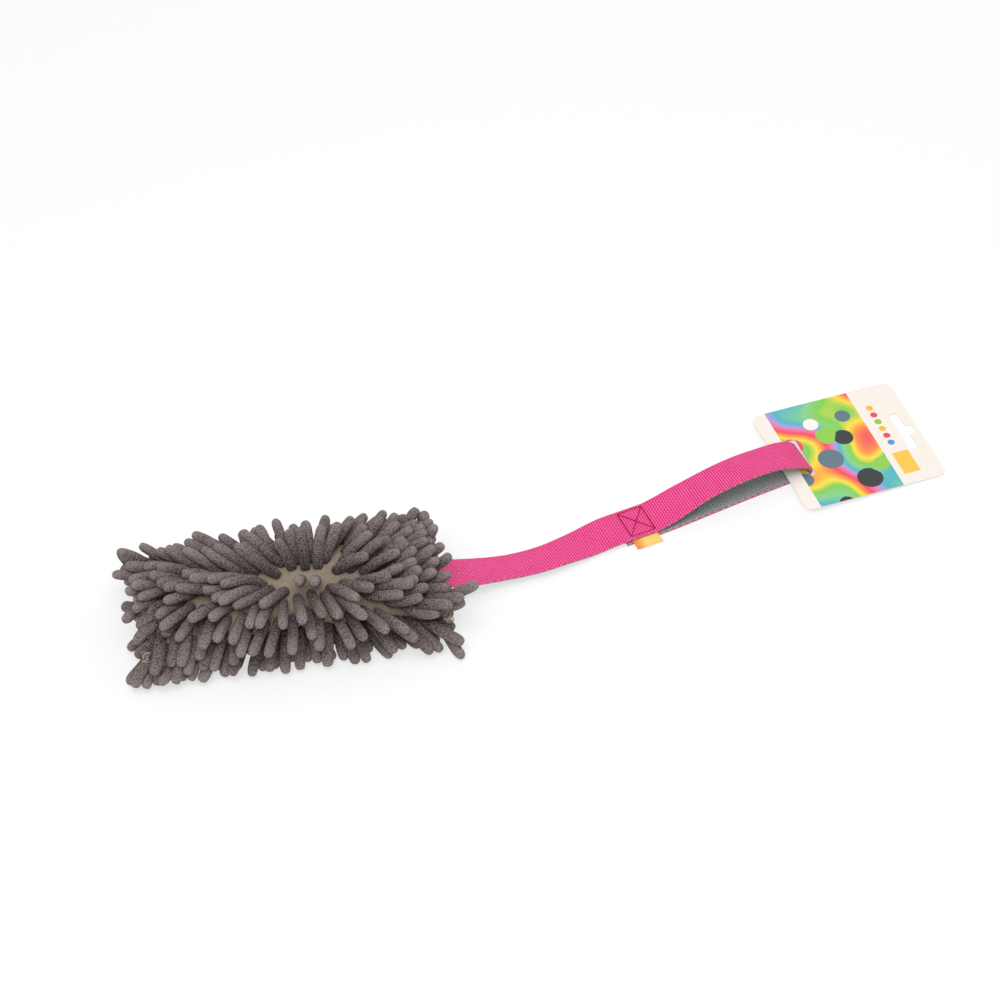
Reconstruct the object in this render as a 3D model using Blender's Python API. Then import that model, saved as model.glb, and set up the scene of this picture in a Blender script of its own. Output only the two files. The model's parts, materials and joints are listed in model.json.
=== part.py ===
"""Dog tug toy: a wadded sleeve of chenille noodles on a webbing strap.

The strap ends in a sewn hand loop that carries a hang card. Everything is in metres and stands on the plane
z = 0. The strap runs along X with the hand loop towards +X, and the origin is under the middle of the box
stitch. The sleeve has a frame of its own: A along it towards the strap, B across it and Z up.
"""

import math

import bmesh
import bpy
import numpy as np
from mathutils import Vector

MM = 0.001

# Clearance between touching pieces
GAP = 0.3 * MM

# Webbing strap
WEBBING_WIDTH = 25 * MM
WEBBING_THICKNESS = 1.6 * MM
STRAP_LENGTH = 135 * MM
TAIL_LENGTH = 25 * MM
STUB_LENGTH = 15.5 * MM
TWIST_DISTANCE = 62 * MM
DROP_LENGTH = 58 * MM
DROP_POWER = 2.0
ROLL_RISE_LENGTH = 12 * MM
ROLL_FALL_START = 62 * MM
ROLL_FALL_LENGTH = 42 * MM
ROLL_DEGREES = -11.0
CLIMB_START = 45 * MM
CLIMB_LENGTH = 28 * MM
STRAP_STEP = 6 * MM

# Box stitch, the cut end under it and the label in it
BOX_LENGTH = 17 * MM
BOX_MARGIN = 1.5 * MM
STITCH_SIDE_MARGIN = 2 * MM
LAYER_GAP = 1.0 * MM
CUT_END_OVERLAP = 3.5 * MM
THREAD_WIDTH = 0.9 * MM
THREAD_THICKNESS = 0.4 * MM
LABEL_LENGTH = 17 * MM
LABEL_OUT = 7.4 * MM
LABEL_THICKNESS = 0.6 * MM
LABEL_TAIL = 5.5 * MM
LABEL_TAIL_THICKNESS = 0.4 * MM

# Hand loop
LOOP_REACH = 102.5 * MM
LOOP_DRIFT = 4.4 * MM
LOOP_STEP = 7 * MM
LOOP_START_SLOPE = 0.22
CROTCH_LENGTH = 3.5 * MM
CURL_RADIUS = 2.3 * MM

# Hang card
CARD_LENGTH = 96 * MM
CARD_WIDTH = 86 * MM
CARD_THICKNESS = 0.6 * MM
CARD_CORNER = 5 * MM
CARD_EDGE_HEIGHT = 3.8 * MM
CARD_SHIFT = 2.8 * MM
CARD_YAW_DEGREES = -3.8
SLIT_DISTANCE = 16 * MM
SLIT_CLEARANCE = 1.3 * MM
SLIT_END_CLEARANCE = 3.5 * MM
SLIT_CORNER_SHARE = 0.6
HANG_SLOT_LENGTH = 33 * MM
HANG_SLOT_WIDTH = 6 * MM
HANG_SLOT_BUMP = 4.5 * MM
HANG_SLOT_INSET = 10 * MM

# Noodle sleeve
SLEEVE_LENGTH = 176 * MM
SEAM_WIDTH = 70 * MM
MIDDLE_WIDTH = 56 * MM
MIDDLE_HEIGHT = 28 * MM
SEAM_HEIGHT = 7.2 * MM
MIDDLE_CENTRE_Z = 23 * MM
SEAM_CENTRE_Z = 19 * MM
SLEEVE_YAW_DEGREES = -14.5
FULLNESS_POWER = 3.0
BACKING_THICKNESS = 1.8 * MM
SEAM_BEAD = 3.4 * MM
SLOT_CLEARANCE = 0.6 * MM
SLOT_HEIGHT_SHARE = 0.024
SIDE_SEAM_WIDTH = 2.4 * MM
WADDING_GAP = 0.7 * MM
WADDING_FIRST_ROW = 1
WADDING_LAST_ROW = 12

# Noodles
CELLS_AROUND = 24
CELLS_ALONG = 30
NOODLE_LENGTH = 30 * MM
NOODLE_THICKNESS = 6.8 * MM
NOODLE_SHOULDER_SHARE = 0.74
NOODLE_TIP_SHARE = 0.5
NOODLE_BOW_SHARE = 0.07
NOODLE_LEAN = 1.1
UNDERSIDE_LEAN = 0.7
SIDE_SHORTEN_SHARE = 0.33
END_SHORTEN_SHARE = 0.3
BARE_ROWS = 1
PARTING_SOFTNESS = 12 * MM
PARTING_OFFSET = -3 * MM
PARTING_SLANT = -0.22
FLOOR_SHARE_MOST = 0.9
FLOOR_MARGIN = 0.6 * MM
STRAP_BAND_MARGIN = 6 * MM
STUB_TIP_MARGIN = 2.2 * MM

# Stitch over the strap's tail inside the sleeve
TAIL_STITCH_LENGTH = 5 * MM
TAIL_STITCH_INSET = 2 * MM

ROUND_STEPS = 6

SEAM_X = -STRAP_LENGTH
ROOT_HINGE_X = SEAM_X + STUB_LENGTH
TWIST_X = -TWIST_DISTANCE
LOWER_LAYER_Z = WEBBING_THICKNESS / 2
UPPER_LAYER_Z = LOWER_LAYER_Z + WEBBING_THICKNESS + LAYER_GAP
STACK_MIDDLE_Z = (LOWER_LAYER_Z + UPPER_LAYER_Z) / 2
LOOP_NOSE_RADIUS = WEBBING_THICKNESS + LAYER_GAP / 2
LOOP_HINGE_X = BOX_LENGTH / 2 + BOX_MARGIN
LAYERS_END_X = LOOP_HINGE_X - LOOP_NOSE_RADIUS - GAP
STITCH_WIDTH = WEBBING_WIDTH - 2 * STITCH_SIDE_MARGIN
SLIT_LENGTH = WEBBING_WIDTH + 2 * SLIT_END_CLEARANCE


def clear_scene():
    for item in list(bpy.data.objects):
        bpy.data.objects.remove(item, do_unlink=True)


def material(name, colour, roughness):
    """A Principled BSDF material with one colour."""
    made = bpy.data.materials.new(name)
    made.use_nodes = True
    shader = made.node_tree.nodes["Principled BSDF"]
    shader.inputs["Base Color"].default_value = (*colour, 1.0)
    shader.inputs["Roughness"].default_value = roughness
    return made


def smooth(value):
    """Smoothstep of a value, held to 0 below 0 and to 1 above 1."""
    value = min(max(value, 0.0), 1.0)
    return value * value * (3 - 2 * value)


def blend(first, second, share):
    return first + (second - first) * share


def solid(name, points, faces, finish, parent=None, location=(0, 0, 0)):
    """One closed mesh object, its faces turned outwards."""
    mesh = bpy.data.meshes.new(name)
    mesh.from_pydata([tuple(point) for point in points], [], faces)
    shape = bmesh.new()
    shape.from_mesh(mesh)
    bmesh.ops.recalc_face_normals(shape, faces=shape.faces)
    shape.to_mesh(mesh)
    shape.free()
    made = bpy.data.objects.new(name, mesh)
    bpy.context.scene.collection.objects.link(made)
    made.data.materials.append(finish)
    made.parent = parent
    made.location = location
    return made


def plate(name, outlines, thickness, finish, parent=None, location=(0, 0, 0)):
    """A flat plate in the local XY plane: the first outline is its edge and the others are its holes."""
    curve = bpy.data.curves.new(name, "CURVE")
    curve.dimensions = "2D"
    curve.fill_mode = "BOTH"
    curve.extrude = thickness / 2
    for outline in outlines:
        spline = curve.splines.new("POLY")
        spline.points.add(len(outline) - 1)
        for point, (x, y) in zip(spline.points, outline):
            point.co = (x, y, 0, 1)
        spline.use_cyclic_u = True
    made = bpy.data.objects.new(name, curve)
    bpy.context.scene.collection.objects.link(made)
    made.data.materials.append(finish)
    made.parent = parent
    made.location = location
    return made


def as_mesh(made):
    """The same object with its curve turned into a mesh, as a Boolean needs."""
    graph = bpy.context.evaluated_depsgraph_get()
    mesh = bpy.data.meshes.new_from_object(made.evaluated_get(graph))
    shape = bmesh.new()
    shape.from_mesh(mesh)
    bmesh.ops.remove_doubles(shape, verts=shape.verts, dist=GAP / 10)
    bmesh.ops.recalc_face_normals(shape, faces=shape.faces)
    shape.to_mesh(mesh)
    shape.free()
    name, location = made.name, made.location.copy()
    bpy.data.objects.remove(made, do_unlink=True)
    turned = bpy.data.objects.new(name, mesh)
    turned.location = location
    bpy.context.scene.collection.objects.link(turned)
    return turned


def empty(name, location, turn=(0, 0, 0)):
    made = bpy.data.objects.new(name, None)
    made.location = location
    made.rotation_euler = turn
    bpy.context.scene.collection.objects.link(made)
    return made


def arc(centre, radius, start, end, steps):
    """Points of an arc in a plane, with its angles in degrees."""
    angles = [math.radians(blend(start, end, k / steps)) for k in range(steps + 1)]
    return [(centre[0] + radius * math.cos(a), centre[1] + radius * math.sin(a)) for a in angles]


def rounded_box(low, high, radius):
    """Outline of a rectangle with round corners."""
    corners = (
        (high[0] - radius, high[1] - radius, 0),
        (low[0] + radius, high[1] - radius, 90),
        (low[0] + radius, low[1] + radius, 180),
        (high[0] - radius, low[1] + radius, 270),
    )
    outline = []
    for x, y, start in corners:
        outline += arc((x, y), radius, start, start + 90, ROUND_STEPS)
    return outline


def strap_height(x):
    """Height of the strap's middle: it falls from the sleeve to the ground, then climbs on to the cut end."""
    fall = 1 - (1 - smooth((x - SEAM_X - SEAM_BEAD) / DROP_LENGTH)) ** DROP_POWER
    climb = smooth((x + CLIMB_START) / CLIMB_LENGTH)
    tilt = abs(math.sin(strap_roll(x))) * WEBBING_WIDTH / 2
    on_ground = blend(SEAM_CENTRE_Z, LOWER_LAYER_Z, fall)
    return blend(on_ground + tilt, UPPER_LAYER_Z, climb)


def strap_roll(x):
    """Roll of the strap about its own length: none at its two ends, far edge low between."""
    rise = smooth((x - ROOT_HINGE_X) / ROLL_RISE_LENGTH)
    fall = smooth((x + ROLL_FALL_START) / ROLL_FALL_LENGTH)
    return math.radians(ROLL_DEGREES) * rise * (1 - fall)


def strap_direction(x):
    step = WEBBING_THICKNESS / 2
    return Vector((2 * step, 0, strap_height(x + step) - strap_height(x - step))).normalized()


def strap_sections(start, end, round_start=False):
    """Sections of the strap from start to end, each a middle, a direction, a roll and a half thickness."""
    half = WEBBING_THICKNESS / 2
    count = max(2, math.ceil((end - start) / STRAP_STEP))
    sections = []
    if round_start:
        middle = Vector((start, 0, strap_height(start)))
        along = strap_direction(start)
        for angle in (75, 40):
            back = math.sin(math.radians(angle)) * half
            thin = math.cos(math.radians(angle)) * half
            sections.append((middle - along * back, along, strap_roll(start), thin))
    for k in range(count + 1):
        x = blend(start, end, k / count)
        sections.append((Vector((x, 0, strap_height(x))), strap_direction(x), strap_roll(x), half))
    return sections


def squared(sections, first=False, last=False):
    """The same sections with the cut at an end turned square to X."""
    sections = list(sections)
    for wanted, index in ((first, 0), (last, -1)):
        if wanted:
            middle, _, roll, half = sections[index]
            sections[index] = (middle, Vector((1, 0, 0)), roll, half)
    return sections


def ribbon(name, sections, finish):
    """A flat strap through the sections, with square ends."""
    points, faces = [], []
    for middle, along, roll, half in sections:
        up = Vector((-along.z, 0, along.x))
        across = Vector((0, math.cos(roll), 0)) + up * math.sin(roll)
        normal = up * math.cos(roll) - Vector((0, math.sin(roll), 0))
        for side, face in ((1, 1), (-1, 1), (-1, -1), (1, -1)):
            points.append(middle + across * (side * WEBBING_WIDTH / 2) + normal * (face * half))
    for k in range(len(sections) - 1):
        for j in range(4):
            a, b = 4 * k + j, 4 * k + (j + 1) % 4
            faces.append((a, b, b + 4, a + 4))
    last = 4 * (len(sections) - 1)
    faces += [(0, 3, 2, 1), (last, last + 1, last + 2, last + 3)]
    return solid(name, points, faces, finish)


def make_strap(finish):
    """The strap in four lengths: the sewn-in root, two free lengths and the cut end under the box stitch."""
    clearance = WEBBING_THICKNESS / 2 + GAP
    root_end = ROOT_HINGE_X - clearance * strap_direction(ROOT_HINGE_X).x
    ribbon("strap_root", strap_sections(SEAM_X - TAIL_LENGTH, root_end), finish)
    near = strap_sections(ROOT_HINGE_X, TWIST_X - GAP / 2, round_start=True)
    ribbon("strap_mop_side", squared(near, last=True), finish)
    far = strap_sections(TWIST_X + GAP / 2, LAYERS_END_X)
    ribbon("strap_hand_side", squared(far, first=True), finish)
    start = -BOX_LENGTH / 2 - CUT_END_OVERLAP
    flat = [
        (Vector((x, 0, LOWER_LAYER_Z)), Vector((1, 0, 0)), 0.0, WEBBING_THICKNESS / 2)
        for x in (start, LAYERS_END_X)
    ]
    ribbon("strap_cut_end", flat, finish)


def loop_drift(x):
    """How far the hand loop lies off the strap's line, towards the far side, at a place along it."""
    return LOOP_DRIFT * (x - LOOP_HINGE_X) / (LOOP_REACH + SLIT_DISTANCE - LOOP_HINGE_X)


def loop_path():
    """Middle line of the hand loop in the XZ plane, from the box stitch over the bight and back under it."""
    edge_z = CARD_EDGE_HEIGHT
    top_z = edge_z + SLIT_DISTANCE
    start_x = LOOP_HINGE_X + CROTCH_LENGTH
    span = LOOP_REACH - start_x
    steps = math.ceil(span / LOOP_STEP)
    path = []
    for k in range(steps):
        s = k / steps
        rise = UPPER_LAYER_Z * (2 * s**3 - 3 * s**2 + 1) + top_z * (3 * s**2 - 2 * s**3)
        path.append((blend(start_x, LOOP_REACH, s), rise + span * LOOP_START_SLOPE * (s**3 - 2 * s**2 + s)))
    path += arc((LOOP_REACH, edge_z), SLIT_DISTANCE, 90, 0, 2 * ROUND_STEPS)
    curl = (LOOP_REACH + SLIT_DISTANCE - CURL_RADIUS, LOWER_LAYER_Z + CURL_RADIUS)
    path += arc(curl, CURL_RADIUS, 0, -90, ROUND_STEPS)
    path += [(blend(curl[0], start_x, k / 4), LOWER_LAYER_Z) for k in range(1, 5)]
    return path


def make_hand_loop(finish):
    """The strap's loop as one closed band, with a round nose on the fold line beside the box stitch."""
    path = loop_path()
    half = WEBBING_THICKNESS / 2
    outer, inner = [], []
    for k, (x, z) in enumerate(path):
        before, after = path[max(k - 1, 0)], path[min(k + 1, len(path) - 1)]
        along = Vector((after[0] - before[0], after[1] - before[1])).normalized()
        outer.append((x - along.y * half, z + along.x * half))
        inner.append((x + along.y * half, z - along.x * half))
    nose = arc((LOOP_HINGE_X, STACK_MIDDLE_Z), LOOP_NOSE_RADIUS, 270, 90, 2 * ROUND_STEPS)
    count = len(path)
    rim = outer + nose
    profile = rim + inner
    total = len(profile)
    side = WEBBING_WIDTH / 2
    points = [(x, y + loop_drift(max(x, LOOP_HINGE_X)), z) for y in (-side, side) for x, z in profile]
    faces = []
    for k in range(len(rim)):
        after = (k + 1) % len(rim)
        faces.append((k, after, after + total, k + total))
    first = len(rim)
    for k in range(count):
        after = first + (k + 1) % count
        faces.append((first + k, first + k + total, after + total, after))
    for level in (0, total):
        for k in range(count - 1):
            faces.append((level + k, level + k + 1, level + first + k + 1, level + first + k))
        ends = [level + count - 1, *range(level + count, level + len(rim)), level, level + first]
        faces.append((*ends, level + first + count - 1))
    return solid("hand_loop", points, faces, finish)


def make_box_stitch(finish):
    """Box and cross of thread on the strap, as one flat frame with four openings."""
    half_x, half_y, wide = BOX_LENGTH / 2, STITCH_WIDTH / 2, THREAD_WIDTH
    outline = [(-half_x, -half_y), (half_x, -half_y), (half_x, half_y), (-half_x, half_y)]
    inner_x, inner_y = half_x - wide, half_y - wide
    diagonal = math.hypot(inner_x, inner_y)
    off_x = wide / 2 * diagonal / inner_y
    off_y = wide / 2 * diagonal / inner_x
    openings = []
    for sign in (-1, 1):
        wide_x, wide_y = inner_x - off_x, inner_y - off_y
        openings.append([(sign * wide_x, sign * inner_y), (-sign * wide_x, sign * inner_y), (0, sign * off_y)])
        openings.append([(sign * inner_x, sign * wide_y), (sign * inner_x, -sign * wide_y), (sign * off_x, 0)])
    top = UPPER_LAYER_Z + WEBBING_THICKNESS / 2 + GAP + THREAD_THICKNESS / 2
    return plate("box_stitch", [outline, *openings], THREAD_THICKNESS, finish, location=(0, 0, top))


def make_label(finish):
    """The side label: its end sewn between the two layers, and the folded flap outside on a line along X."""
    low, high = -LABEL_LENGTH / 2, LABEL_LENGTH / 2
    edge = -WEBBING_WIDTH / 2 + GAP
    end, deep = min(high, LAYERS_END_X), edge + LABEL_TAIL
    inside = [(low, edge), (end, edge), (end, deep), (low, deep)]
    plate("label_tail", [inside], LABEL_TAIL_THICKNESS, finish, location=(0, 0, STACK_MIDDLE_Z))
    half = LABEL_THICKNESS / 2
    rim = arc((0, 0), half, 90, -90, ROUND_STEPS) + arc((-LABEL_OUT + half, 0), half, 270, 90, ROUND_STEPS)
    count = len(rim)
    points = [(x, y, z) for x in (low, high) for y, z in rim]
    faces = [(k, (k + 1) % count, (k + 1) % count + count, k + count) for k in range(count)]
    faces += [tuple(range(count)), tuple(range(count, 2 * count))]
    flap = solid("side_label", points, faces, finish)
    flap.location = (0, -WEBBING_WIDTH / 2 - GAP - half, STACK_MIDDLE_Z)
    flap.rotation_euler = (math.asin((STACK_MIDDLE_Z - half) / (LABEL_OUT - half)), 0, 0)
    return flap


def make_hang_card(finish):
    """The card on the bight: it lies on its far end, and turns about its near edge inside the loop."""
    half = CARD_WIDTH / 2
    edge = rounded_box((0, -half), (CARD_LENGTH, half), CARD_CORNER)
    slit_half = WEBBING_THICKNESS / 2 + SLIT_CLEARANCE
    slit = rounded_box(
        (SLIT_DISTANCE - slit_half, -SLIT_LENGTH / 2),
        (SLIT_DISTANCE + slit_half, SLIT_LENGTH / 2),
        slit_half * SLIT_CORNER_SHARE,
    )
    middle = CARD_LENGTH - HANG_SLOT_INSET
    arm, reach, bump = HANG_SLOT_WIDTH / 2, (HANG_SLOT_LENGTH - HANG_SLOT_WIDTH) / 2, HANG_SLOT_BUMP
    slot = arc((middle, reach), arm, 0, 180, ROUND_STEPS) + arc((middle, -reach), arm, 180, 360, ROUND_STEPS)
    slot += arc((middle + arm, 0), bump, -90, 90, 2 * ROUND_STEPS)
    tilt = math.asin((CARD_EDGE_HEIGHT - CARD_THICKNESS / 2) / CARD_LENGTH)
    card = plate("hang_card", [edge, slit, slot], CARD_THICKNESS, finish)
    card.location = (LOOP_REACH, loop_drift(LOOP_REACH) + CARD_SHIFT, CARD_EDGE_HEIGHT)
    card.rotation_euler = (0, tilt, math.radians(CARD_YAW_DEGREES))
    return card


def ring_outline(width, height, count, first, last):
    """Points at equal steps round an ellipse, from share first to share last of its length, far side first."""
    fine = np.linspace(0, 2 * math.pi, 2881)
    across = width / 2 * np.cos(fine)
    up = height / 2 * np.sin(fine)
    length = np.concatenate([[0], np.cumsum(np.hypot(np.diff(across), np.diff(up)))])
    wanted = np.linspace(first, last, count + 1) * length[-1]
    return np.interp(wanted, length, across), np.interp(wanted, length, up)


def sleeve_section(share):
    """Place along the sleeve, and the width, height and middle height of its oval there."""
    along = (share - 0.5) * SLEEVE_LENGTH
    end = abs(2 * share - 1)
    full = math.sqrt(max(1 - end**FULLNESS_POWER, 0))
    width = blend(SEAM_WIDTH, MIDDLE_WIDTH, full)
    height = blend(SEAM_HEIGHT, MIDDLE_HEIGHT, full)
    return along, width, height, blend(MIDDLE_CENTRE_Z, SEAM_CENTRE_Z, end * end)


def sleeve_grid(around, along, cells_around, cells_along, inset=0.0):
    """Points of a stretch of the sleeve, as rows along it, set in from its face by inset."""
    rows = []
    for share in np.linspace(along[0], along[1], cells_along + 1):
        a, width, height, middle = sleeve_section(share)
        b, z = ring_outline(width - 2 * inset, height - 2 * inset, cells_around, around[0], around[1])
        rows.append([Vector((a, b[k], middle + z[k])) for k in range(cells_around + 1)])
    return rows


def to_world(point):
    """A point of the sleeve's frame in the world."""
    yaw = math.radians(SLEEVE_YAW_DEGREES)
    a, b = point.x - SLEEVE_LENGTH / 2, point.y
    x, y = a * math.cos(yaw) - b * math.sin(yaw), a * math.sin(yaw) + b * math.cos(yaw)
    return Vector((SEAM_X + x, y, point.z))


def noodle_direction(middle, normal):
    """The way a noodle points: off the fabric, combed away from the parting and out towards the two ends."""
    end = middle.x / (SLEEVE_LENGTH / 2)
    if normal.z > 0:
        parting = PARTING_OFFSET + PARTING_SLANT * middle.x
        lean = Vector((end, math.tanh((middle.y - parting) / PARTING_SOFTNESS), 0)) * NOODLE_LEAN
    else:
        lean = Vector((end, math.tanh(middle.y / PARTING_SOFTNESS), 0)) * UNDERSIDE_LEAN
    return (normal + lean).normalized()


def noodle_reach(middle, normal, direction):
    """Length of a noodle: shorter at the sides and ends, and short of the strap's fold line."""
    end = abs(middle.x) / (SLEEVE_LENGTH / 2)
    length = NOODLE_LENGTH * (1 - SIDE_SHORTEN_SHARE * abs(normal.y)) * (1 - END_SHORTEN_SHARE * end**4)
    base, tip = to_world(middle), to_world(middle + direction * length)
    band = WEBBING_WIDTH / 2 + STRAP_BAND_MARGIN
    limit = ROOT_HINGE_X - STUB_TIP_MARGIN
    if min(abs(base.y), abs(tip.y)) < band and tip.x > limit:
        length *= (limit - base.x) / (tip.x - base.x)
    return length


def noodle(corners):
    """Points beyond the four base corners of one noodle: a shoulder and a tip, or a flat cut on the ground."""
    middle = sum(corners, Vector()) / 4
    normal = (corners[3] - corners[1]).cross(corners[2] - corners[0]).normalized()
    direction = noodle_direction(middle, normal)
    length = noodle_reach(middle, normal, direction)
    if -direction.z * length * FLOOR_SHARE_MOST > middle.z:
        return [[corner - direction * (corner.z / direction.z) for corner in corners]]
    radius = NOODLE_THICKNESS / 2
    lowest = (radius + FLOOR_MARGIN - middle.z) / length
    if direction.z < lowest:
        direction = Vector((direction.x, direction.y, lowest)).normalized()
    offsets = [corner - middle for corner in corners]
    offsets = [(off - direction * off.dot(direction)).normalized() * radius for off in offsets]
    shoulder = middle + direction * (length * NOODLE_SHOULDER_SHARE) + normal * (length * NOODLE_BOW_SHARE)
    tip = middle + direction * length
    return [[shoulder + off for off in offsets], [tip + off * NOODLE_TIP_SHARE for off in offsets]]


def make_pile(name, around, finish, parent):
    """A slice of the sleeve's fabric with its noodles, on every other cell of its grid."""
    cells_around, cells_along = CELLS_AROUND // 4, CELLS_ALONG
    outer = sleeve_grid(around, (0, 1), cells_around, cells_along)
    inner = sleeve_grid(around, (0, 1), cells_around // 2, cells_along // 2, BACKING_THICKNESS)
    points = [point for row in outer for point in row]
    faces = []

    def at(row, column):
        return row * (cells_around + 1) + column

    for row in range(cells_along):
        for column in range(cells_around):
            base = [at(row, column), at(row + 1, column), at(row + 1, column + 1), at(row, column + 1)]
            bare = min(row, cells_along - 1 - row) < BARE_ROWS
            if bare or (row + column) % 2:
                faces.append(tuple(base))
                continue
            ring = base
            for level in noodle([points[index] for index in base]):
                start = len(points)
                points += level
                new = [start + k for k in range(4)]
                faces += [(ring[k], ring[(k + 1) % 4], new[(k + 1) % 4], new[k]) for k in range(4)]
                ring = new
            faces.append(tuple(ring))
    first = len(points)
    points += [point for row in inner for point in row]
    wide, long = cells_around // 2, cells_along // 2

    def under(row, column):
        return first + row * (wide + 1) + column

    for row in range(long):
        for column in range(wide):
            near, far = under(row, column), under(row + 1, column)
            faces.append((near, near + 1, far + 1, far))
    for row in range(long):
        for column, far in ((0, 0), (wide, cells_around)):
            faces.append((at(2 * row, far), at(2 * row + 1, far), under(row, column)))
            after = at(2 * row + 2, far)
            faces.append((at(2 * row + 1, far), after, under(row + 1, column), under(row, column)))
    for column in range(wide):
        for row, far in ((0, 0), (long, cells_along)):
            faces.append((at(far, 2 * column), at(far, 2 * column + 1), under(row, column)))
            after = at(far, 2 * column + 2)
            faces.append((at(far, 2 * column + 1), after, under(row, column + 1), under(row, column)))
    return solid(name, points, faces, finish, parent)


def make_sleeve(noodles, parent):
    """The noodle fabric in four slices, parted on top by a fold and underneath by the long seam."""
    girth = 2 * (MIDDLE_WIDTH + MIDDLE_HEIGHT) * math.pi / 4
    fold = GAP / 2 / girth
    seam = (SIDE_SEAM_WIDTH / 2 + GAP) / girth
    slices = (
        ("pile_top_far", fold, fold), ("pile_top_near", fold, fold),
        ("pile_bottom_near", fold, seam), ("pile_bottom_far", seam, fold),
    )
    for k, (name, before, after) in enumerate(slices):
        make_pile(name, (k / 4 + before, (k + 1) / 4 - after), noodles, parent)


def make_wadding(finish, parent):
    """The stuffing: a long oval that fills the sleeve and stops short of the strap's tail."""
    around, along = CELLS_AROUND // 2, WADDING_LAST_ROW - WADDING_FIRST_ROW
    shares = (2 * WADDING_FIRST_ROW / CELLS_ALONG, 2 * WADDING_LAST_ROW / CELLS_ALONG)
    rows = sleeve_grid((0, 1), shares, around, along, BACKING_THICKNESS + WADDING_GAP)
    points = [point for row in rows for point in row[:-1]]
    faces = []
    for row in range(along):
        for column in range(around):
            after = (column + 1) % around
            a, b = row * around, (row + 1) * around
            faces.append((a + column, b + column, b + after, a + after))
    faces += [tuple(range(around)), tuple(range(along * around, (along + 1) * around))]
    return solid("wadding_core", points, faces, finish, parent)


def make_long_seam(finish, parent):
    """The sewn edges that close the sleeve underneath, as a narrow strip along its lowest line."""
    count = CELLS_ALONG // 2
    half = SIDE_SEAM_WIDTH / 2
    points, faces = [], []
    for k in range(count + 1):
        a, _, height, middle = sleeve_section(k / count)
        low = middle - height / 2
        high = low + BACKING_THICKNESS
        points += [(a, -half, low), (a, half, low), (a, half, high), (a, -half, high)]
    for k in range(count):
        for j in range(4):
            a, b = 4 * k + j, 4 * k + (j + 1) % 4
            faces.append((a, b, b + 4, a + 4))
    last = 4 * count
    faces += [(0, 1, 2, 3), (last, last + 1, last + 2, last + 3)]
    return solid("long_seam", points, faces, finish, parent)


def oval_bar(name, near, far, finish, parent):
    """A bar along the sleeve with the flat oval of its ends, a little inside the fabric's outer face."""
    b, z = ring_outline(SEAM_WIDTH - 2 * GAP, SEAM_HEIGHT - 2 * GAP, CELLS_AROUND, 0, 1)
    points = [(a, b[k], SEAM_CENTRE_Z + z[k]) for a in (near, far) for k in range(CELLS_AROUND)]
    count = CELLS_AROUND
    faces = [(k, (k + 1) % count, (k + 1) % count + count, k + count) for k in range(count)]
    faces += [tuple(range(count)), tuple(range(count, 2 * count))]
    return solid(name, points, faces, finish, parent)


def make_end_seams(finish, parent):
    """The overlocked edges at the sleeve's two ends, with a slot for the strap in the one on its side."""
    near = SLEEVE_LENGTH / 2 + GAP
    oval_bar("end_seam_plain", -near - SEAM_BEAD, -near, finish, parent)
    strap_end = oval_bar("end_seam_strap", near, near + SEAM_BEAD, finish, parent)
    reach, wide = 3 * SEAM_BEAD, WEBBING_WIDTH / 2 + SLOT_CLEARANCE
    # A wider strap starts to fall before all of its slanted edge is out of the slot
    tall = WEBBING_THICKNESS / 2 + WEBBING_WIDTH * SLOT_HEIGHT_SHARE
    slot = [(SEAM_X - reach, -wide), (SEAM_X + reach, -wide), (SEAM_X + reach, wide), (SEAM_X - reach, wide)]
    cutter = plate("strap_slot_cutter", [slot], 2 * tall, finish, location=(0, 0, strap_height(SEAM_X)))
    cutter = as_mesh(cutter)
    cutter.hide_render = True
    cutter.display_type = "WIRE"
    cut = strap_end.modifiers.new("strap slot", "BOOLEAN")
    cut.operation = "DIFFERENCE"
    cut.object = cutter


def make_tail_stitch(finish):
    """The thread rows that hold the strap's tail to the fabric, as one flat frame on the tail."""
    middle = SEAM_X - TAIL_LENGTH + TAIL_STITCH_INSET + TAIL_STITCH_LENGTH / 2
    half_x, half_y, wide = TAIL_STITCH_LENGTH / 2, STITCH_WIDTH / 2, THREAD_WIDTH
    outline = [(-half_x, -half_y), (half_x, -half_y), (half_x, half_y), (-half_x, half_y)]
    opening = [(-half_x + wide, -half_y + wide), (half_x - wide, -half_y + wide),
               (half_x - wide, half_y - wide), (-half_x + wide, half_y - wide)]
    top = SEAM_CENTRE_Z + WEBBING_THICKNESS / 2 + GAP + THREAD_THICKNESS / 2
    return plate("tail_stitch", [outline, opening], THREAD_THICKNESS, finish, location=(middle, 0, top))


def main():
    clear_scene()
    noodles = material("grey chenille", (0.195, 0.156, 0.156), 0.95)
    wadding = material("polyester wadding", (0.85, 0.84, 0.8), 0.95)
    overlock = material("beige overlock thread", (0.33, 0.26, 0.2), 0.8)
    webbing = material("magenta webbing", (0.745, 0.03, 0.21), 0.6)
    thread = material("crimson thread", (0.43, 0.006, 0.07), 0.5)
    tape = material("amber label tape", (0.91, 0.55, 0.07), 0.6)
    board = material("coated card", (0.93, 0.87, 0.79), 0.4)
    centre = to_world(Vector((0, 0, 0)))
    sleeve = empty("sleeve_frame", centre, (0, 0, math.radians(SLEEVE_YAW_DEGREES)))
    make_sleeve(noodles, sleeve)
    make_wadding(wadding, sleeve)
    make_long_seam(overlock, sleeve)
    make_end_seams(overlock, sleeve)
    make_strap(webbing)
    make_tail_stitch(thread)
    make_box_stitch(thread)
    make_label(tape)
    make_hand_loop(webbing)
    make_hang_card(board)


main()
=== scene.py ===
"""Looks of the dog tug toy: a sleeve of chenille noodles on a webbing strap with a hand loop and a card.

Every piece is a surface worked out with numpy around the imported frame. Places are in the frame's metres.
The sleeve has a frame of its own: A along it towards the strap, B across it and Z up.
"""

import json
import math
from functools import partial

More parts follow.
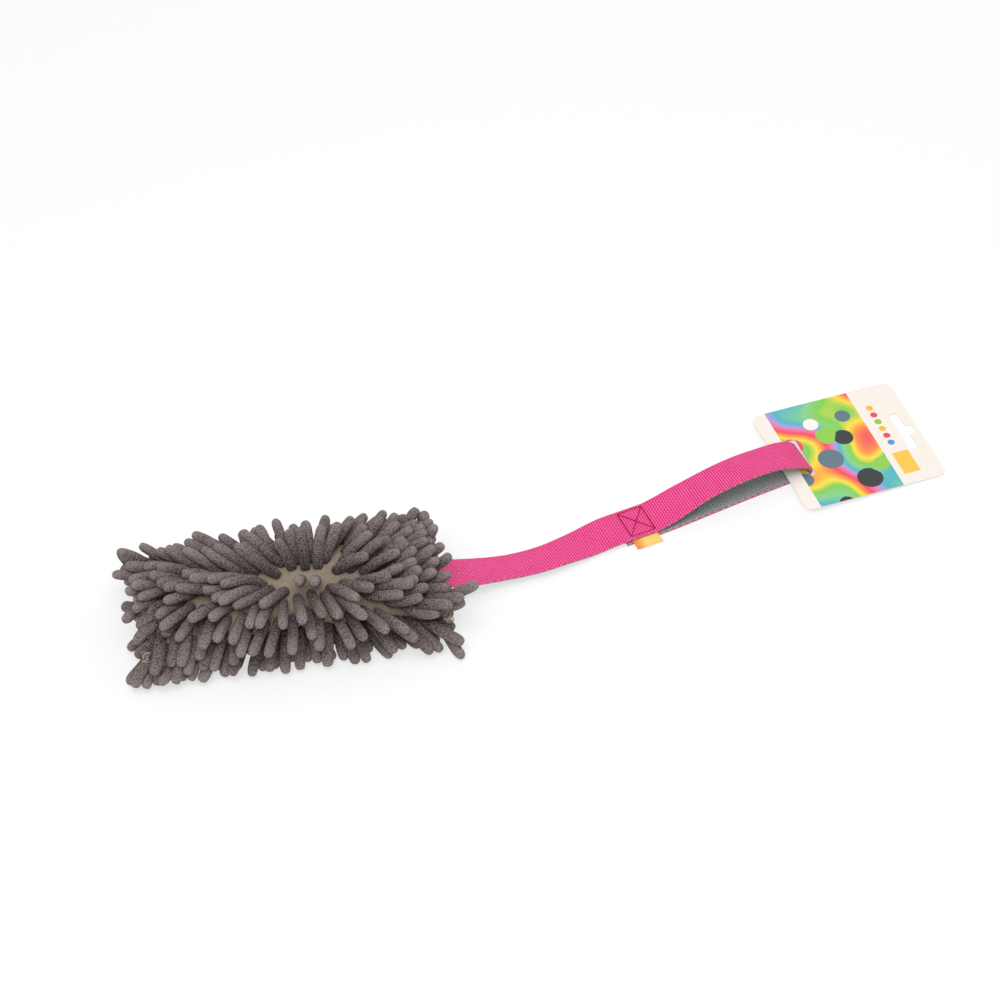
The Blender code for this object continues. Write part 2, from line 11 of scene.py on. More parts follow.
import bpy
import numpy as np
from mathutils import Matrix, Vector

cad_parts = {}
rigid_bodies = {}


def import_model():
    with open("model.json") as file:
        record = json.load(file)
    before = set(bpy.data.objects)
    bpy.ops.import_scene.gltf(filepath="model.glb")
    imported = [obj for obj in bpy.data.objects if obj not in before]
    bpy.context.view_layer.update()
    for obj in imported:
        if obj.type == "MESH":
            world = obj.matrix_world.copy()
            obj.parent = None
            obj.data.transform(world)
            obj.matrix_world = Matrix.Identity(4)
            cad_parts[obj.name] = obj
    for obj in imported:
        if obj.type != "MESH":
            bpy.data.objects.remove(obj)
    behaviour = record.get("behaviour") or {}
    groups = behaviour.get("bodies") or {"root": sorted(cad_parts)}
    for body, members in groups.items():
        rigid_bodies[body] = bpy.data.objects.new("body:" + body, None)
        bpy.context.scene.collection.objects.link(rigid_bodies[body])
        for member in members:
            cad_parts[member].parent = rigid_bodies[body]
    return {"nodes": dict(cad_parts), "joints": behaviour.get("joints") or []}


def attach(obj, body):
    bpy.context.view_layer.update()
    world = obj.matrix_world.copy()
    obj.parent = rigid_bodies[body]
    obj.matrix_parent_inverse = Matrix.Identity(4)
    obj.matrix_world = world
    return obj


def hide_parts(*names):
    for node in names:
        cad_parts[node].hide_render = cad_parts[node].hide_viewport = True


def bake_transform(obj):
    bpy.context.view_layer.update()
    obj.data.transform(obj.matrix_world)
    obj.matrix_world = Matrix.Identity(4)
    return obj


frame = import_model()

bl_info = {
    "name": "Dog Tug Toy",
    "version": (1, 0, 0),
    "blender": (4, 5, 0),
    "location": "3D View > Sidebar > Tug Toy",
    "description": "Chenille sleeve, woven strap, stitches, label and card around the packed frame",
    "category": "Add Mesh",
}

MM = 0.001
JOINTS = {joint["name"]: joint["pos_m"] for joint in frame["joints"]}

# Sleeve, as the frame has it
SLEEVE_LENGTH = 176 * MM
SEAM_WIDTH, SEAM_HEIGHT = 70 * MM, 7.2 * MM
MIDDLE_WIDTH, MIDDLE_HEIGHT = 56 * MM, 28 * MM
MIDDLE_CENTRE_Z, SEAM_CENTRE_Z = 23 * MM, 19 * MM
SLEEVE_YAW_DEGREES = -14.5
FULLNESS_POWER = 3.0
SEAM_X = -135 * MM
BACKING_THICKNESS = 1.3 * MM
HEM_LENGTH, HEM_NARROWS, HEM_FLATTENS = 1.2 * MM, 0.985, 0.68
WADDING_GAP, WADDING_ENDS = 0.9 * MM, (-0.93, 0.72)

# Overlocked end seams
SLOT_HALF, SLOT_EASE, SLOT_RISE = 16.5 * MM, 3 * MM, 0.85 * MM
OVERLOCK_TURNS, OVERLOCK_HALF = 26, 33.6 * MM
OVERLOCK_OUT, OVERLOCK_REACH, OVERLOCK_LIFT = 1.4 * MM, 2.6 * MM, 2.5 * MM
SEAM_THREAD = 0.42 * MM
LIP_HALF, LIP_TAPER, LIP_OUT, LIP_LIFT = 34.4 * MM, 34.6 * MM, 1.5 * MM, 1.12 * MM
LIP_DEEP, LIP_THICK = 2.1 * MM, 1.05 * MM
RIPPLE, RIPPLE_LENGTH = 0.25 * MM, 4.1 * MM
KNOT_OUT, KNOT_SIZE, KNOT_THREAD = 1.8 * MM, 3.2 * MM, 0.5 * MM
KNOTS = ((-35.5 * MM, 0.0), (35 * MM, 1.1))

# Noodles: their rows, the parting as (A, B) in mm, and where it opens
NOODLE_ROWS, NOODLES_PER_ROW = 16, 21
NOODLE_LINKS = 8
NOODLE_SIDES = 8
NOODLE_SHARES = np.array([0, 0.13, 0.3, 0.48, 0.66, 0.82, 0.93, 0.99])
NOODLE_PROFILE = np.array([0.88, 0.97, 0.99, 1.0, 1.01, 1.03, 0.92, 0.55])
NOODLE_LUMPS, NOODLE_UNEVEN = 0.055, 0.04
PARTING = ((-88, 31), (-72, 22), (-40, -1), (-16, -7), (7, -5), (27, -8), (42, -18), (63, -25), (88, -29))
OPEN_MIDDLE, OPEN_HALF = 10 * MM, 12 * MM
CLOSED_DRAW, OPEN_FAR, OPEN_NEAR = 0.46, 0.92, 0.55
UPRIGHT_AT, UPRIGHT_HALF = 11 * MM, 8 * MM
UPRIGHT_WAY = np.array([-0.12, -0.62, 0.77])
PULL_ROWS, PULL_LENGTH = 0.65, 15 * MM
ROOT_MARGIN = 0.96

# How the noodles are combed: leans as shares of the fabric's normal, and the places where they hold
FAN_LEAN, FAN_STEEPNESS, FAN_CENTRE = 1.5, 1.6, 0.08
TURN_AT, TURN_LENGTH, TURN_LEAN = 11 * MM, 22 * MM, 0.9
FAR_LEAN, NEAR_LEAN, UNDER_LEAN, NEAR_HANG = 1.1, -1.9, 0.8, 3.0
CORNER_START, CORNER_LENGTH, CORNER_LIFT = 36 * MM, 40 * MM, 1.8
CORNER_WAY = np.array([0.5, -0.3, 0.8])
UNDER_LENGTH, NEAR_SHORTER, CORNER_SHORTER = 0.75, 0.14, 0.25
PILE_REACH = ((-94 * MM, -46 * MM, 0), (91 * MM, 38 * MM, 46 * MM))
FAR_INSET, FAR_EASE = 7 * MM, 20 * MM
TOP_FROM, UNDER_FROM = -0.3, -0.75

# How they settle: links keep their length, are held to the combing, straighten and push each other apart
SETTLE_STEPS, SETTLE_ROUNDS = 80, 4
WEIGHT, CARRY = 0.16 * MM, 0.8
COMBED_HOLD, ROOT_HOLD, STRAIGHTEN, PUSH_SHARE = 0.014, 0.5, 0.4, 0.4
PRESSED, LOOKED_AT, FARTHEST_PUSH = 1.95, 3.4, 0.5
OFF_GROUND, STRAP_HALF_ROOM, STRAP_ROOM, OVER_STRAP = 1.16, 14 * MM, 0.9 * MM, -1 * MM

# Strap: cuts between its lengths, and (X, Z) in mm of its fall from the seam to the ground
WEBBING_WIDTH, WEBBING_THICKNESS = 25 * MM, 1.6 * MM
STRAP_REST = 0.8 * MM
TAIL_X, NEAR_CUT_X, FAR_CUT_X, LEG_CUT_X = -160 * MM, -94 * MM, -28 * MM, 50 * MM
STRAP_FALL = (
    (-160, 19), (-150, 19), (-141, 19), (-134, 19), (-130, 17.9), (-126, 16), (-120, 12.9), (-110, 8.7),
    (-100, 5.1), (-92, 2.8), (-84, 1.3), (-75, 0.8), (-60, 0.8), (-45, 0.8), (-20, 0.8), (10, 0.8))
LOOP_HEIGHTS = (
    (10, 3.45), (19, 5.2), (30, 8.6), (48, 13.5), (66, 16.0), (84, 16.0), (100, 13.8), (109, 10.9),
    (115, 7.6), (118.1, 4.3), (117.5, 2.0), (114.5, 0.95), (108, 0.8), (80, 0.8), (45, 0.8), (14, 0.8),
    (2, 0.8), (-12, 0.8))
ROLL_DEGREES, LEG_ROLL_DEGREES = -12.5, -9.0
SWAY, SWAY_X, SWAY_LENGTH = -3.1 * MM, 62 * MM, 24 * MM
ROLL_IN, ROLL_IN_LENGTH, ROLL_OUT, ROLL_OUT_LENGTH = 18 * MM, 60 * MM, 62 * MM, 42 * MM
LEG_ROLL_IN, LEG_IN_LENGTH, LEG_ROLL_OUT, LEG_OUT_LENGTH = 16 * MM, 34 * MM, 88 * MM, 26 * MM
CLIMB_FROM, CLIMB_LENGTH = 45 * MM, 28 * MM
LAYER_GAP = 1.0 * MM
ROUTE_STEP, WEBBING_STEP = 0.5 * MM, 1.8 * MM
LOOP_DRIFT, LOOP_LENGTH = 4.4 * MM, 108.5
UNDER_SHIFT, UNDER_FROM_X, UNDER_EASE = 0.9 * MM, 20 * MM, 60 * MM

# Stitches and label, its folded line as (Y, Z) in mm
BOX_LENGTH, BOX_WIDTH, BOX_INSET, BOX_TOP = 17 * MM, 21 * MM, 0.4 * MM, 4.2 * MM
STITCH_PITCH = 2.6 * MM
BOX_THREAD, CROSS_THREAD = 0.44 * MM, 0.3 * MM
TAIL_ROWS, TAIL_ROW_HALF = (18 * MM, 22 * MM), 10 * MM
LABEL_WIDTH, LABEL_THICKNESS, LABEL_SKEW = 17 * MM, 0.32 * MM, 0.11
LABEL_FOLD = (
    (-7.4, 2.4), (-12.8, 2.4), (-14.2, 2.4), (-15.8, 2.3), (-17.2, 2.1), (-18.6, 1.85), (-19.1, 1.55),
    (-18.6, 1.3), (-17.2, 1.5), (-15.8, 1.7), (-14.2, 1.84), (-12.8, 1.88), (-7.4, 1.88))

# Card, as the frame has it
CARD_YAW_DEGREES = -3.8
CARD_STRIP, CARD_PICTURE_END = 9.4 * MM, 66 * MM

# Stage
AZIMUTH_DEGREES, ELEVATION_DEGREES = -25, 47
TARGET_RIGHT, TARGET_UP = -83.5 * MM, 16.0 * MM
PICTURES_PER_METRE = 1.6280
LAMPS = (("soft_box", (-0.55, -0.45, 1.5), 1.0, 1.1), ("fill", (0.9, 0.6, 1.3), 0.35, 1.4))
LAMP_TARGET = Vector((-0.08, 0, 0))

# Colours of the card's print, by place on a ramp: its two ends first, then what lies between
PRINT_BANDS = (
    (0.0, "#7CCB4B"), (1.0, "#7CCB4B"), (0.12, "#F6DA3E"), (0.24, "#F98F3C"), (0.36, "#EE3F58"),
    (0.48, "#F4658A"), (0.58, "#B493DA"), (0.7, "#45AFC0"), (0.85, "#86CC86"))
PRINT_SPOTS = (
    (0.0, "#2C3134"), (1.0, "#F6C63A"), (0.42, "#5C7480"), (0.6, "#F4EEE6"), (0.74, "#EE4560"),
    (0.88, "#8CCB45"))
HEADER_DOTS = (
    (0.0, "#3F97D6"), (1.0, "#8CC63E"), (0.167, "#EE3F58"), (0.333, "#F5B82E"), (0.5, "#8CC63E"),
    (0.667, "#EE3F58"), (0.834, "#F5B82E"))


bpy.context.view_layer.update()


def linear(code):
    """An sRGB hex colour as linear RGBA: ((c + 0.055) / 1.055) ** 2.4 a channel, c / 12.92 near black."""
    channels = [int(code[k : k + 2], 16) / 255 for k in (1, 3, 5)]
    return (*(((c + 0.055) / 1.055) ** 2.4 if c > 0.04045 else c / 12.92 for c in channels), 1.0)


def toned(colour, share):
    """A linear colour times 1 + share where share is below 0, or mixed with white by a share above 0."""
    return (*(c * (1 + share) if share < 0 else c + (1 - c) * share for c in tuple(colour)[:3]), 1.0)


def feed(node, inputs):
    """Fills sockets by name or number with a constant, a socket or a node's first output in use."""
    for key, value in inputs.items():
        if isinstance(value, bpy.types.Node):
            value = next(socket for socket in value.outputs if socket.enabled)
        if isinstance(value, bpy.types.NodeSocket):
            node.id_data.links.new(value, node.inputs[key])
        else:
            node.inputs[key].default_value = value


def add_node(tree, kind, *values, stops=(), **settings):
    """Adds a node, whose kind may end in its operation. Values fill its sockets from 0, stops its ramp.

    A setting named as a socket's identifier fills that socket, and any other sets a property.
    """
    kind, _, operation = kind.partition(" ")
    made = tree.nodes.new("ShaderNode" + kind)
    if operation:
        made.operation = operation
    inputs = dict(enumerate(values))
    sockets = [socket.identifier for socket in made.inputs]
    for name, value in settings.items():
        if name in sockets:
            inputs[sockets.index(name)] = value
        else:
            setattr(made, name, value)
    feed(made, inputs)
    for k, (place, colour) in enumerate(stops):
        stop = made.color_ramp.elements[k] if k < 2 else made.color_ramp.elements.new(place)
        stop.position = place
        stop.color = linear(colour) if isinstance(colour, str) else colour
    return made


def new_finish(name, **constants):
    """A material, its Principled BSDF with constants on its sockets, and a call that adds nodes to it."""
    finish = bpy.data.materials.new(name)
    finish.use_nodes = True
    shader = finish.node_tree.nodes["Principled BSDF"]
    names = {key: key.replace("_", " ").title().replace("Ior", "IOR") for key in constants}
    feed(shader, {names[key]: value for key, value in constants.items()})
    return finish, shader, partial(add_node, finish.node_tree)


COLOUR = {"subtype": "COLOR", "size": 4}


class TugToyNoodles(bpy.types.PropertyGroup):
    """Sizes and colours of the noodle fabric"""

    length: bpy.props.FloatProperty(
        name="Length", description="Length of a noodle off the fabric", default=28.5 * MM, unit="LENGTH")
    thickness: bpy.props.FloatProperty(
        name="Thickness", description="Diameter of a noodle", default=6.5 * MM, unit="LENGTH")
    lean: bpy.props.FloatProperty(
        name="Lean", description="How far the noodles are combed away from the parting", default=1.0)
    seed: bpy.props.IntProperty(name="Seed", description="Start of the random unevenness", default=11)
    # Pile is the light end of the noodles' colour: the fibre's grey with painted light on raised curls and
    # tips.
    tip: bpy.props.FloatVectorProperty(
        name="Pile", description="Colour of the raised fibre", default=linear("#A59795"), **COLOUR)
    # Shade is the dark end of the noodles' colour: painted shade in the dimples and at the roots.
    shade: bpy.props.FloatVectorProperty(
        name="Shade", description="Colour between the fibre", default=linear("#403634"), **COLOUR)
    backing: bpy.props.FloatVectorProperty(
        name="Backing", description="Colour of the backing", default=linear("#A0907A"), **COLOUR)


class TugToyWebbing(bpy.types.PropertyGroup):
    """Sizes and colours of the webbing, its stitch and its label"""

    width: bpy.props.FloatProperty(
        name="Width", description="Width of the webbing", default=WEBBING_WIDTH, unit="LENGTH")
    thickness: bpy.props.FloatProperty(
        name="Thickness", description="Thickness of the webbing", default=WEBBING_THICKNESS, unit="LENGTH")
    face: bpy.props.FloatVectorProperty(
        name="Face", description="Colour of the outer face", default=linear("#F8228B"), **COLOUR)
    reverse: bpy.props.FloatVectorProperty(
        name="Reverse", description="Colour of the inner face", default=linear("#A2A7A3"), **COLOUR)
    thread: bpy.props.FloatVectorProperty(
        name="Thread", description="Colour of the box stitch", default=linear("#B80436"), **COLOUR)
    label: bpy.props.FloatVectorProperty(
        name="Label", description="Colour of the label tape", default=linear("#F7CE6C"), **COLOUR)


class TugToyStage(bpy.types.PropertyGroup):
    """Camera distance and light of the studio"""

    distance: bpy.props.FloatProperty(
        name="Distance", description="From the camera to the toy", default=2.2, unit="LENGTH")
    lamp: bpy.props.FloatProperty(
        name="Lamp", description="Power of the soft box", default=17.0, unit="POWER")
    sky: bpy.props.FloatProperty(
        name="Sky", description="Strength of the light from all round", default=0.5)


def smooth(value):
    """Smoothstep: 3 v^2 - 2 v^3 of a value held between 0 and 1."""
    value = np.clip(value, 0, 1)
    return value * value * (3 - 2 * value)


def bell(value):
    """exp(-v^2): 1 at 0, falling off to either side."""
    return np.exp(-(value**2))


def blunt(value):
    """A wave with squarer crests: the sign of a value times its size to the power 0.6."""
    return np.sign(value) * np.abs(value) ** 0.6


def unit(vectors):
    """Vectors divided by their own lengths."""
    return vectors / np.maximum(np.linalg.norm(vectors, axis=-1, keepdims=True), 1e-12)


def columns(*values):
    """Arrays side by side as the columns of one."""
    return np.stack(np.broadcast_arrays(*values), axis=-1)


def turns(count):
    """Angles of count places evenly round a circle."""
    return np.arange(count) * 2 * math.pi / count


def lengths_along(points):
    """Length of a line of points so far, at each of them."""
    return np.concatenate([[0], np.cumsum(np.linalg.norm(np.diff(points, axis=0), axis=1))])


def hermite(t, first, second, slope, next_slope, span=1.0):
    """Cubic at share t from first, times 2t^3 - 3t^2 + 1, to second, times 3t^2 - 2t^3, with slopes."""
    ends = first * (2 * t**3 - 3 * t**2 + 1) + second * (3 * t**2 - 2 * t**3)
    return ends + span * (slope * (t**3 - 2 * t**2 + t) + next_slope * (t**3 - t**2))


def along_lines(lines, shares):
    """Points at shares of each line's length, on the Catmull-Rom cubic through its own points."""
    count = lines.shape[1] - 1
    place = np.asarray(shares) * count
    low = np.minimum(place.astype(int), count - 1)
    slope = np.gradient(lines, axis=1)
    t = (place - low)[:, None]
    return hermite(t, lines[:, low], lines[:, low + 1], slope[:, low], slope[:, low + 1])


def through(points, step):
    """A smooth route through given points: cubic spans with the slopes of neighbouring points."""
    points = np.asarray(points, float)
    place = lengths_along(points)
    slope = np.gradient(points, place, axis=0)
    wanted = np.linspace(0, place[-1], int(place[-1] / step) + 1)
    low = np.clip(np.searchsorted(place, wanted, side="right") - 1, 0, len(place) - 2)
    span = (place[low + 1] - place[low])[:, None]
    t = (wanted[:, None] - place[low][:, None]) / span
    return hermite(t, points[low], points[low + 1], slope[low], slope[low + 1], span)


FALL_LINE = through(np.array(STRAP_FALL) * MM, ROUTE_STEP)


def to_world(points):
    """Points of the sleeve's frame in the world: turned by the yaw, with the strap's end at SEAM_X."""
    yaw = math.radians(SLEEVE_YAW_DEGREES)
    a, b = points[..., 0] - SLEEVE_LENGTH / 2, points[..., 1]
    x, y = a * math.cos(yaw) - b * math.sin(yaw), a * math.sin(yaw) + b * math.cos(yaw)
    return columns(SEAM_X + x, y, points[..., 2])


def sleeve_section(end):
    """Width, height and middle height of the sleeve's oval at end, -1 to 1 along it.

    Fullness is the root of 1 - |end|^3, so the sleeve is round in the middle and pinched flat at its two
    seams.
    """
    full = np.sqrt(np.clip(1 - np.abs(end) ** FULLNESS_POWER, 0, 1))
    width = SEAM_WIDTH + (MIDDLE_WIDTH - SEAM_WIDTH) * full
    height = SEAM_HEIGHT + (MIDDLE_HEIGHT - SEAM_HEIGHT) * full
    return width, height, MIDDLE_CENTRE_Z + (SEAM_CENTRE_Z - MIDDLE_CENTRE_Z) * end * end


def mesh_object(name, points, faces, finish, uv=None, **values):
    """A smooth mesh object at the origin, with a material, a UV map in metres and point values by name."""
    mesh = bpy.data.meshes.new(name)
    mesh.from_pydata(points.tolist(), [], [face.tolist() for group in faces for face in group])
    mesh.shade_smooth()
    if uv is not None:
        index = np.empty(len(mesh.loops), np.int32)
        mesh.loops.foreach_get("vertex_index", index)
        mesh.uv_layers.new(name="cloth").uv.foreach_set("vector", uv[index].astype(np.float32).ravel())
    for key, value in values.items():
        rows = mesh.attributes.new(key, "FLOAT", "POINT").data
        rows.foreach_set("value", value.astype(np.float32).ravel())
    made = bpy.data.objects.new(name, mesh)
    bpy.context.scene.collection.objects.link(made)
    mesh.materials.append(finish)
    return made


def closed_tubes(rings):
    """Points and faces of closed tubes from rings of points, an array of tube x ring x side x 3.

    Each tube's sides are quads between neighbouring rings, and a fan to the middle of its first and last
    ring closes it. Rings run anticlockwise about the way the tube goes, so the faces point outwards.
    """
    tubes, length, sides = rings.shape[:3]
    poles = rings[:, [0, -1]].mean(axis=2)
    points = np.concatenate([rings.reshape(tubes, -1, 3), poles], axis=1)
    i, j = np.arange(length - 1)[:, None] * sides, np.arange(sides)[None]
    after = (j + 1) % sides
    quads = columns(i + j, i + after, i + sides + after, i + sides + j).reshape(-1, 4)
    j, after, last = j[0], after[0], (length - 1) * sides
    first_pole = np.full(sides, length * sides)
    fans = np.stack([
        np.concatenate([first_pole, first_pole + 1]),
        np.concatenate([after, last + j]),
        np.concatenate([j, last + after]),
    ], axis=-1)
    start = np.arange(tubes)[:, None, None] * points.shape[1]
    return points.reshape(-1, 3), [(quads + start).reshape(-1, 4), (fans + start).reshape(-1, 3)]


def round_rings(lines, radii, sides):
    """Rings of a round tube along each line: middle + radius (cos t N + sin t (T x N)).

    T is the line's direction, and N is square to it and to the plane that the line mostly bends in.
    """
    along = unit(np.gradient(lines, axis=1))
    bend = np.cross(along[:, 0], along[:, -1])
    level = np.cross(along.mean(axis=1), np.array([0.31, 0.17, 0.93]))
    reference = np.where(np.linalg.norm(bend, axis=1, keepdims=True) > 0.15, bend, unit(level))[:, None]
    normal = unit(reference - (reference * along).sum(-1, keepdims=True) * along)
    across = np.cross(along, normal)
    turn = turns(sides)
    ring = np.cos(turn)[:, None] * normal[:, :, None] + np.sin(turn)[:, None] * across[:, :, None]
    return lines[:, :, None] + np.asarray(radii)[..., None] * ring


def threads(lines, radii, sides=6):
    """Points and faces of round tubes along lines."""
    return closed_tubes(round_rings(lines, radii, sides))


def joined(groups):
    """Points and faces of several meshes as one."""
    points, faces, start = [], [], 0
    for more, sets in groups:
        points.append(more)
        faces += [part + start for part in sets]
        start += len(more)
    return np.concatenate(points), faces


def strap_roll(x):
    """Roll of the free strap, near edge up: it comes in beyond the seam and goes out before the stitch."""
    rise = smooth((x - JOINTS["mop_swing"][0] + ROLL_IN) / ROLL_IN_LENGTH)
    return math.radians(ROLL_DEGREES) * rise * (1 - smooth((x + ROLL_OUT) / ROLL_OUT_LENGTH))


def strap_height(x):
    """Height of the strap's middle line: its fall and what its roll lifts, then up on to the cut end."""
    fall = np.interp(x, FALL_LINE[:, 0], FALL_LINE[:, 1])
    high = STRAP_REST + WEBBING_THICKNESS + LAYER_GAP
    climb = smooth((x + CLIMB_FROM) / CLIMB_LENGTH)
    tilt = np.abs(np.sin(strap_roll(x))) * 12.5 * MM
    return (fall + tilt) * (1 - climb) + high * climb


def plant_noodles(settings, rng):
    """Root, direction, length and row of each noodle.

    Roots lie in staggered rows along the sleeve, NOODLE_ROWS of them evenly round each oval. On top they
    are moved so that the parting runs half way between two rows, which draw closer to it outside its open
    middle, and the near rows are pulled up to it beside the two upright noodles. A direction is the
    oval's normal plus a lean out to the two ends, 1.5 tanh(1.6 (x - 0.08)) at share x of the half length,
    and a lean away from the parting, stronger on the near side. The rows next to the parting turn and lie
    along it to either end. The outer rows on either side hang down, and the far corner at the strap
    stands up. Noodles are shorter underneath, low on the near side and at that corner. Tips that would
    stand beyond the pile's outline lean back inside it.
    """
    row, place = np.divmod(np.arange(NOODLE_ROWS * NOODLES_PER_ROW), NOODLES_PER_ROW)
    end = ROOT_MARGIN * (2 * (place + 0.5 + 0.25 * (-1.0) ** row) / NOODLES_PER_ROW - 1)
    end += rng.normal(0, 0.008, len(end))
    a = end * SLEEVE_LENGTH / 2
    width, height, middle = sleeve_section(end)
    fine = np.linspace(0, 2 * math.pi, 721)
    across, up = width[:, None] / 2 * np.cos(fine), height[:, None] / 2 * np.sin(fine)
    rows = np.cumsum(np.hypot(np.diff(across), np.diff(up)), axis=1)
    rows *= NOODLE_ROWS / rows[:, -1:]
    parting_angle = np.arccos(np.clip(2 * np.interp(a, *np.array(PARTING).T * MM) / width, -1, 1))
    parting = np.take_along_axis(rows, (fine < parting_angle[:, None]).sum(axis=1)[:, None], axis=1)[:, 0]
    nearest = np.round(parting)
    gap = (row + 0.5 - nearest + NOODLE_ROWS / 2) % NOODLE_ROWS - NOODLE_ROWS / 2
    opened = smooth(2 - np.abs(a - OPEN_MIDDLE) / OPEN_HALF)
    closeness = np.exp(0.5 - np.abs(gap))
    drawn = np.sign(gap) * (CLOSED_DRAW - np.where(gap < 0, OPEN_FAR, OPEN_NEAR) * opened) * closeness
    near_rows = np.where(gap > 1, np.clip(1.5 - gap / 3, 0, 1), 0)
    pull = PULL_ROWS * bell((a - UPRIGHT_AT) / PULL_LENGTH) * near_rows
    moved = (parting - nearest) * np.clip(1 - np.abs(gap) / 4, 0, 1) - drawn - pull
    upright = (gap == 0.5) & (np.abs(a - UPRIGHT_AT) < UPRIGHT_HALF)
    row_place = np.where(upright, parting, row + 0.5 + moved) + rng.normal(0, 0.05, len(row))
    angle = fine[(rows < (row_place % NOODLE_ROWS)[:, None]).sum(axis=1)]
    top = np.sin(angle) > TOP_FROM
    root = columns(a, width / 2 * np.cos(angle), middle + height / 2 * np.sin(angle))
    normal = unit(columns(0, np.cos(angle) / width, np.sin(angle) / height))
    normal = unit(normal + columns(0.6 * end**3, 0, 0))
    lean_along = FAN_LEAN * np.tanh(FAN_STEEPNESS * (end - FAN_CENTRE))
    turned = smooth(np.abs(a - TURN_AT) / TURN_LENGTH) * closeness * top
    lean_along += TURN_LEAN * np.sign(a - TURN_AT) * turned
    lean_across = np.where(gap < 0, FAR_LEAN, NEAR_LEAN) * (1 - 0.45 * end * end) * (1 - 0.7 * turned)
    lean_across = np.where(top, lean_across, UNDER_LEAN * np.sign(np.cos(angle)))
    lean_down = -np.where(gap < 0, smooth((-1 - gap) / 2.5), NEAR_HANG * smooth((gap - 1.9) / 2)) * top
    lean = columns(lean_along, lean_across, lean_down) * settings.lean
    direction = unit(normal + lean + rng.normal(0, 0.23, root.shape))
    corner = smooth((a - CORNER_START) / CORNER_LENGTH) * (top & (gap < -1))
    direction = unit(direction + CORNER_LIFT * corner[:, None] * CORNER_WAY)
    length = settings.length * (1 + rng.normal(0, 0.09, len(end)))
    share = np.where(np.sin(angle) < UNDER_FROM, UNDER_LENGTH, 1)
    length *= share * (1 - NEAR_SHORTER * smooth((gap - 2) / 2)) * (1 - CORNER_SHORTER * corner)
    low, high = (np.tile(limit, (len(root), 1)) for limit in PILE_REACH)
    far_side = smooth(root[:, 1] / FAR_EASE)
    low[:, 0] += FAR_INSET * far_side
    high[:, 0] -= FAR_INSET * far_side
    tip = np.clip(root + direction * length[:, None], low, high)
    direction = np.where(upright[:, None], UPRIGHT_WAY, unit(tip - root))
    return root, direction, length, row


def close_pairs(points, owner, reach):
    """Numbers of the points of different noodles that are nearer than reach to each other."""
    square = (points**2).sum(axis=1)
    gap = square[:, None] + square[None] - 2 * points @ points.T
    first, second = np.nonzero(np.triu(gap < reach**2, 1))
    apart = owner[first] != owner[second]
    return first[apart], second[apart]


def settle_noodles(root, direction, length, radius):
    """Middle lines of the noodles after they have pushed each other apart and sagged.

    Each noodle is a chain of equal links. A step carries on its motion and adds a little weight, and then
    rounds of corrections hold the links' lengths, straighten neighbouring links, keep the noodle near the
    way it was combed, part every two points that are nearer than a pressed noodle's thickness, and keep
    the points out of the sleeve, the ground and the strap.
    """
    count, links = len(root), NOODLE_LINKS
    link = (length / links)[:, None, None]
    combed = root[:, None] + direction[:, None] * link * np.arange(links + 1)[None, :, None]
    chain, before = combed.copy(), combed.copy()
    owner = np.repeat(np.arange(count), links)
    rise = np.minimum(np.arange(1, links + 1) / 3, 1)[None] * radius
    for step in range(SETTLE_STEPS):
        chain, before = chain + CARRY * (chain - before), chain
        chain[:, 1:, 2] -= WEIGHT * np.arange(1, links + 1) / links
        if step % 5 == 0:
            first, second = close_pairs(chain[:, 1:].reshape(-1, 3), owner, LOOKED_AT * radius)
        for _ in range(SETTLE_ROUNDS):
            chain[:, 0] = root
            chain[:, 1:] += COMBED_HOLD * (combed[:, 1:] - chain[:, 1:])
            chain[:, 1] += ROOT_HOLD * (combed[:, 1] - chain[:, 1])
            kink = (chain[:, :-2] + chain[:, 2:]) / 2 - chain[:, 1:-1]
            chain[:, 1:-1] += STRAIGHTEN * kink
            chain[:, 2:] -= STRAIGHTEN / 2 * kink
            for start in (0, 1):
                low, high = chain[:, start:-1:2], chain[:, start + 1 :: 2]
                low = low[:, : high.shape[1]]
                gap = high - low
                size = np.linalg.norm(gap, axis=-1, keepdims=True)
                push = gap * (1 - link / size) / 2
                low += push
                high -= push
            points = chain[:, 1:].reshape(-1, 3)
            gap = points[first] - points[second]
            size = np.maximum(np.linalg.norm(gap, axis=1), 1e-9)
            push = gap * (np.clip(PRESSED * radius - size, 0, None) / size * PUSH_SHARE)[:, None]
            shift = [
                np.bincount(first, push[:, k], len(points)) - np.bincount(second, push[:, k], len(points))
                for k in range(3)
            ]
            points += np.clip(np.stack(shift, axis=-1), -FARTHEST_PUSH * radius, FARTHEST_PUSH * radius)
            chain[:, 1:] = points.reshape(count, links, 3)
            keep_out(chain[:, 1:], rise, radius)
    return chain


def keep_out(points, rise, radius):
    """Moves points of the sleeve's frame out of its oval grown by rise, the ground and the strap."""
    end = points[..., 0] / (SLEEVE_LENGTH / 2)
    inside = np.abs(end) < 1
    width, height, middle = sleeve_section(np.clip(end, -1, 1))
    across, up = points[..., 1] / (width / 2 + rise), (points[..., 2] - middle) / (height / 2 + rise)
    depth = np.hypot(across, up)
    grow = np.where(inside & (depth < 1), 1 / np.maximum(depth, 0.05), 1)
    points[..., 1] *= grow
    points[..., 2] = middle + (points[..., 2] - middle) * grow
    points[..., 2] = np.maximum(points[..., 2], OFF_GROUND * radius)
    world = to_world(points)
    on_strap = (np.abs(world[..., 1]) < STRAP_HALF_ROOM + radius) & (world[..., 0] > SEAM_X - 2 * MM)
    height = strap_height(world[..., 0])
    off = points[..., 2] - height
    away = np.where(off > OVER_STRAP, 1, -1) * (STRAP_ROOM + radius)
    hit = on_strap & (np.abs(off) < np.abs(away))
    points[..., 2] = np.where(hit, height + away, points[..., 2])
    over = np.clip(world[..., 0] - (JOINTS["mop_swing"][0] - 5 * MM), 0, None) * on_strap
    points[..., 0] -= over


